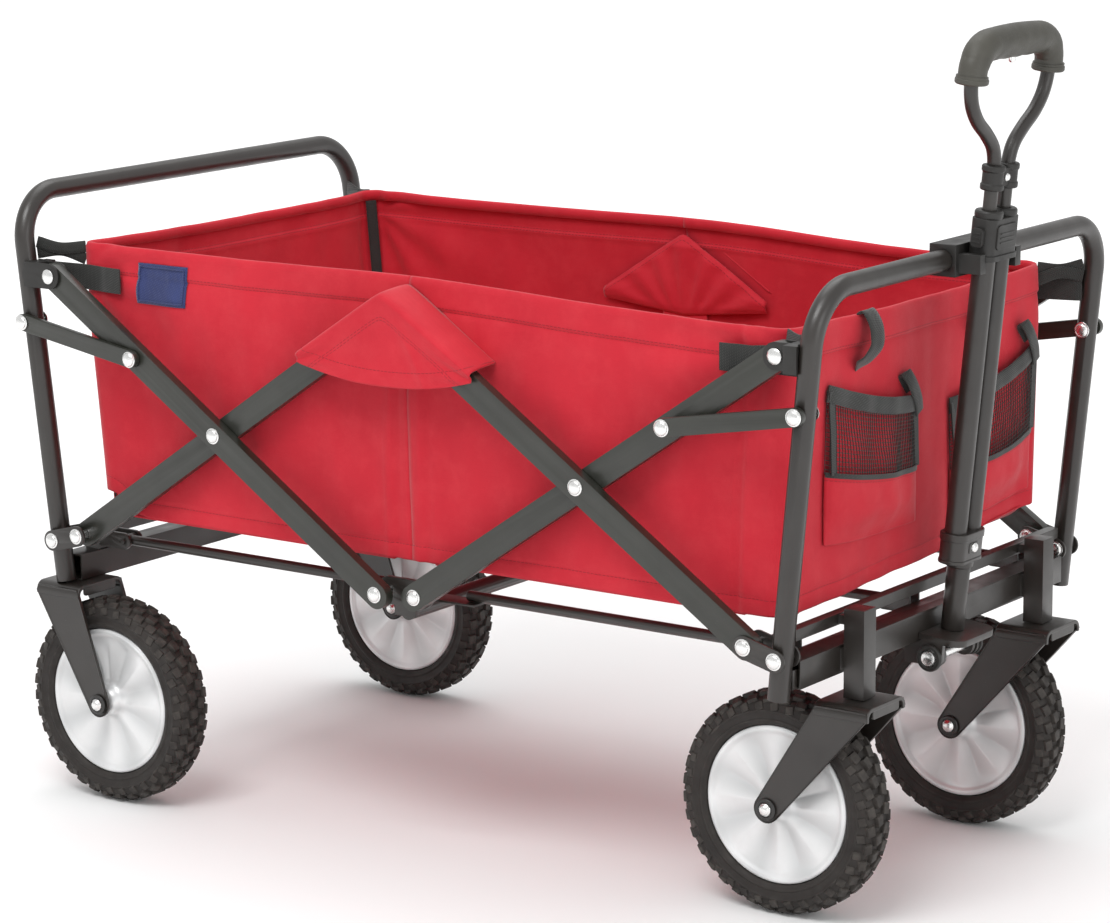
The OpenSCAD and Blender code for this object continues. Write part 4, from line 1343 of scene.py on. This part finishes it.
def ribbon(name, path, width, body, up=None, replaces=(), thick=1.5, steps=7, across=None):
    """Webbing along a smooth path."""
    path = curve(path, steps)
    bm = bmesh.new()
    add_sweep(bm, path, band(width, thick), up, across=across)
    made = piece(name, bm, WEBBING, body, replaces, sharp=55)
    # the section is closed, so the strap's cloth is its two faces
    path_length(path)
    return made


def leg_x(end, z):
    """X of the middle of a leaning leg; end is -1 at the rear and 1 at the front."""
    lo, hi = box_mm("rear_u_frame" if end < 0 else "front_u_frame")
    low, high = (hi.x - 10, lo.x + 10) if end < 0 else (lo.x + 10, hi.x - 10)
    return lerp(low, high, (z - lo.z) / (hi.z - 10 - lo.z))


def first(node, side):
    """The near piece stands for a node that holds both sides."""
    return [node] if side < 0 else []


def make_straps():
    """Straps from the side cloth round the corners to the legs."""
    lo, hi = box_mm("rear_straps")
    z = (lo.z + hi.z) / 2 + 1
    leg = leg_x(-1, z + 5)
    rear = ("rear", z, 4.6, [lo.x + a for a in (56, 48, 38, 26)],
            ((lo.x + 8, WALL_Y + 4, z + 1), (leg + 12, LEG_Y - 1.5, z + 2),
             (leg + 3, LEG_Y + 0.5, z + 3)))
    z = 503
    leg = leg_x(1, z)
    front = ("front", z, 5.2, (334, 344, 354, 366),
             ((384, WALL_Y + 6, z + 2), (leg - 14, LEG_Y - 2.5, z + 3), (leg - 4, LEG_Y + 1, z + 3)))
    for end, z, offset, sewn, loose in (rear, front):
        for side, tag in SIDES:
            pts = [(x, side_y(x, z, side, offset), z) for x in sewn]
            pts += [(x, side * y, up) for x, y, up in loose]
            ribbon(f"{end}_strap_{tag}", pts, 24, end + "_frame", (0, side, 0),
                   replaces=first(end + "_straps", side))


def make_corner_tapes():
    """Black tapes sewn over the seams inside the rear corners."""
    for side, tag in SIDES:
        pts = []
        for k in range(9):
            z = lerp(RIM - 9, HEM + 14, k / 8)
            lean = end_lean(-1, up_wall(z))
            pts.append(Vector((REAR_X + lean + 10.5, side * (WALL_Y - 10.5), z)))
        ribbon("corner_tape_" + tag, pts, 11, "rear_frame", (1, -side, 0), steps=3)


def make_corner_ties():
    """Short gathered loops that hang the rim's corners from the legs."""
    for end, where in ((-1, "rear"), (1, "front")):
        for side, tag in SIDES:
            z = rim_height(end * 390, side * WALL_Y) - 9
            lx = leg_x(end, z)
            inner = FRONT_X - 7 if end > 0 else REAR_X + 7
            start = Vector((inner, side * (WALL_Y - 7), z))
            finish = Vector((lx - end * 4, side * LEG_Y, z + 4))
            middle = start.lerp(finish, 0.5)
            for k, (lift, out) in enumerate(((5, 1.5), (-7, -1.0))):
                pts = [start + Vector((0, 0, lift)), middle + Vector((0, side * out, lift * 0.2)),
                       finish + Vector((0, 0, lift * 0.9))]
                ribbon(f"tie_{where}_{tag}_{k}", pts, 11, where + "_frame",
                       (0.2 * end, side, 0.3 * k), steps=6)


def make_patch():
    """Plain patch with a raised woven border, sewn on the near side."""
    lo, hi = box_mm("side_patch")
    bm = bmesh.new()
    nx, nz = 24, 16

    def at(i, j):
        x, z = lerp(lo.x, hi.x, i / (nx - 1)), lerp(lo.z, hi.z, j / (nz - 1))
        edge = min(x - lo.x, hi.x - x, z - lo.z, hi.z - z)
        lift = 1.1 if 0.5 < edge < 4.5 else 0.7
        return Vector((x, side_y(x, z, -1, lift + 0.9), z))
    add_grid(bm, nx, nz, at, even(0.0026, 0.0025))
    made = cloth("sewn_patch", bm, "rear_frame", 0.9, ["side_patch"], PATCH)
    gather(made)
    pts = [(lo.x + 3, lo.z + 3), (hi.x - 3, lo.z + 3), (hi.x - 3, hi.z - 3), (lo.x + 3, hi.z - 3),
           (lo.x + 3, lo.z + 3)]
    path = []
    for (a, b), (c, d) in zip(pts, pts[1:]):
        for k in range(12):
            x, z = lerp(a, c, k / 12), lerp(b, d, k / 12)
            path.append(Vector((x, side_y(x, z, -1, 3.0), z)))
    bm = bmesh.new()
    add_sweep(bm, path, circle(0.8, 8), (0, 1, 0), closed=True)
    made = piece("patch_border", bm, PATCH, "rear_frame", sharp=180)
    gather(made)


def front_x(y, z, offset=0.0):
    """X of the front wall's outer face."""
    v = up_wall(z)
    roll = band_rise(rim_height(FRONT_X, y) - z, y)
    return FRONT_X - end_lean(1, v) + end_bulge(y, z, 1) + roll + offset


class Pocket:
    """A front pocket: net above, red pouch below, between two upright ends."""

    def __init__(self, y0, y1, top, border, bottom, deep, loop):
        self.y0, self.y1 = y0, y1
        self.top, self.border, self.bottom, self.deep = top, border, bottom, deep
        self.loop = loop

    def point(self, u, v, offset=0.0):
        """u across from the near end, v from 0 at the top to 1 at the bottom."""
        y = lerp(self.y0, self.y1, u)
        sag = 7 * math.sin(math.pi * u)
        top, low = lerp(*self.top, u) - sag * 0.8, lerp(*self.bottom, u) - sag * 0.35
        z = lerp(top, low, v)
        full = math.sin(math.pi * clamp(u, 0.0, 1.0)) ** 0.55 if 0 < u < 1 else 0.0
        belly = lerp(0.55, 1.0, smooth(v / 0.55)) * (1 - smooth((v - 0.72) / 0.28) ** 1.3)
        n = noise.fractal(Vector((y / 38, z / 46, self.y0)), 1.0, 2.0, 3) * 1.8 * full
        narrow = 3.0 * math.sin(math.pi * clamp(v)) * (1 if u < 0.5 else -1) * (1 - full)
        x = front_x(y, z, 2.8) + self.deep * full * belly + n * belly + offset
        return Vector((x, y + narrow * 0.4, z))

    def share(self, u):
        """v where the net meets the pouch."""
        t, b, m = lerp(*self.top, u), lerp(*self.bottom, u), lerp(*self.border, u)
        return (t - m) / (t - b)


def make_pocket(name, pocket):
    y_len = (pocket.y1 - pocket.y0) / 1000
    # pouch
    bm = bmesh.new()
    nu, nv = 34, 22

    def pouch(i, j):
        u = i / (nu - 1)
        return pocket.point(u, lerp(pocket.share(u), 1.0, j / (nv - 1)))
    add_grid(bm, nu, nv, pouch, even(y_len / (nu - 1), 0.003))
    made = cloth(name + "_pouch", bm, "front_frame", 1.0, [name], subdivide=1)
    tall = (lerp(*pocket.border, 0.5) - lerp(*pocket.bottom, 0.5)) / 1000
    gather(made)
    # net
    bm = bmesh.new()
    cell = 3.6
    nu = int((pocket.y1 - pocket.y0) / cell)
    nv = int((lerp(*pocket.top, 0.5) - lerp(*pocket.border, 0.5)) / cell)
    verts = make_net(nu + 1, nv + 1, lambda i, j: bm.verts.new(
        pocket.point(i / nu, pocket.share(i / nu) * j / nv)))
    for i in range(nu):
        for j in range(nv):
            bm.faces.new((verts[i][j], verts[i + 1][j], verts[i + 1][j + 1], verts[i][j + 1]))
    made = piece(name + "_net", bm, WEBBING, "front_frame", sharp=180)
    mod = made.modifiers.new("strands", "WIREFRAME")
    mod.thickness, mod.use_even_offset = 0.00105, False
    top_h = (lerp(*pocket.top, 0.5) - lerp(*pocket.border, 0.5)) / 1000
    gather(made)
    # bindings
    n = 22
    top = [pocket.point(i / n, 0.02, 0.8) for i in range(n + 1)]
    gather(ribbon(name + "_top_binding", top, 15, "front_frame", (1, 0, 0), thick=1.8, steps=2))
    low = [pocket.point(i / n, pocket.share(i / n) + 0.005, 0.9) for i in range(n + 1)]
    bm = bmesh.new()
    add_sweep(bm, low, band(4.5, 1.6), (1, 0, 0))
    gather(piece(name + "_low_binding", bm, WEBBING, "front_frame", sharp=55))
    for k, u in enumerate((0.03, 0.97)):
        path = [pocket.point(u + 0.02 * t / 6, pocket.share(u) * t / 6, 0.6) for t in range(7)]
        gather(ribbon(f"{name}_post_{k}", path, 9, "front_frame", (1, 0, 0), steps=2))
    # loop at the inner top corner
    a = pocket.point(pocket.loop, 0.02, 2.0)
    pts = [a + Vector((1.0, 3, -9)), a + Vector((3.5, -4, 4)), a + Vector((5.5, -17, 20)),
           a + Vector((2.5, -23, 30)), a + Vector((-1.0, -20, 27)), a + Vector((0.5, -10, 14))]
    gather(ribbon(name + "_loop", pts, 13, "front_frame", (1, 0, 0), thick=1.6))


def make_pockets():
    make_pocket("pocket_left", Pocket(-164, -12, (470, 438), (397, 379), (334, 328), 12.5, 0.97))
    make_pocket("pocket_right", Pocket(50, 200, (424, 457), (364, 378), (312, 320), 12.0, 0.94))


def make_panel_straps():
    """Tie straps that hang over the front wall under the top bar."""
    for y, tag, way in ((-98, "near", -1), (104, "far", 1)):
        rim = rim_height(FRONT_X, y)
        x = FRONT_X + 2
        pts = [(x - 9.5, y + 3 * way, rim - 15), (x - 9.0, y + 2 * way, rim - 3),
               (x - 3.0, y + way, rim + 3.4), (x + 3, y, rim - 3), (x + 8, y - 2, rim - 13),
               (x + 10, y - 6, rim - 25), (x + 6, y - 13, rim - 35),
               (front_x(y - 22, rim - 42, 6.0), y - 23, rim - 42)]
        made = ribbon("panel_strap_" + tag, pts, 21, "front_frame", thick=1.6, across=(0, 1, 0))
        gather(made)


# ---- stage ----

def make_stage():
    """A plain pale floor with a painted glow: it emits light, more the farther it lies from the wagon.
    """
    bpy.ops.mesh.primitive_plane_add(size=80, location=(0, 0, -0.0004))
    floor = bpy.context.object
    floor.name = "studio_floor"
    p = Paint("stage", rough=0.9, specular=0.1)
    p.put("Base Color", p.mix(p.noise(2, 2), (0.93, 0.93, 0.93), (0.95, 0.95, 0.95)))
    away = p.node("ShaderNodeVectorMath", operation="LENGTH")
    p.tree.links.new(p.where.outputs["Object"], away.inputs[0])
    # painted glow: emission that rises with distance from the wagon
    p.put("Emission Color", (1, 1, 1, 1))
    p.put("Emission Strength", p.ramp(away.outputs["Value"], 0.9, 3.4, 0.0, 0.34))
    floor.data.materials.append(p.material)


def area_light(name, where, target, size, power):
    data = bpy.data.lights.new(name, "AREA")
    data.shape, data.size, data.size_y = "RECTANGLE", size[0], size[1]
    data.energy = power
    light = bpy.data.objects.new(name, data)
    SCENE.collection.objects.link(light)
    light.location = where
    light.rotation_euler = (Vector(target) - Vector(where)).to_track_quat("-Z", "Y").to_euler()


def make_light():
    world = bpy.data.worlds.new("world")
    SCENE.world = world
    world.use_nodes = True
    back = world.node_tree.nodes["Background"]
    back.inputs[0].default_value = (1, 1, 1, 1)
    back.inputs[1].default_value = 0.80
    area_light("key", (0.4, -2.3, 3.3), (0, 0, 0.3), (2.0, 1.5), 62)
    area_light("fill", (3.4, -1.0, 1.3), (0, 0, 0.35), (1.6, 1.4), 16)
    area_light("top", (-0.6, 0.9, 3.4), (0, 0, 0.3), (2.4, 2.4), 34)
    SCENE.view_settings.view_transform = "Standard"
    SCENE.view_settings.look = "None"
    SCENE.view_settings.exposure = 0.0


dress_frame()
make_rivets()
make_wheels()
for make in (make_handle_tubes, make_loop, make_grip, make_latch, make_tilt_bolt):
    make()
make_wall("basket_rear", -1, "rear_frame", ["rear_panel", "side_panel_near", "side_panel_far"])
make_wall("basket_front", 1, "front_frame", ["front_panel"])
for make in (make_centre_strips, make_gussets, make_flaps, make_floor, make_floor_lips,
             make_straps, make_corner_tapes, make_corner_ties, make_patch, make_pockets,
             make_panel_straps, make_stage, make_light):
    make()
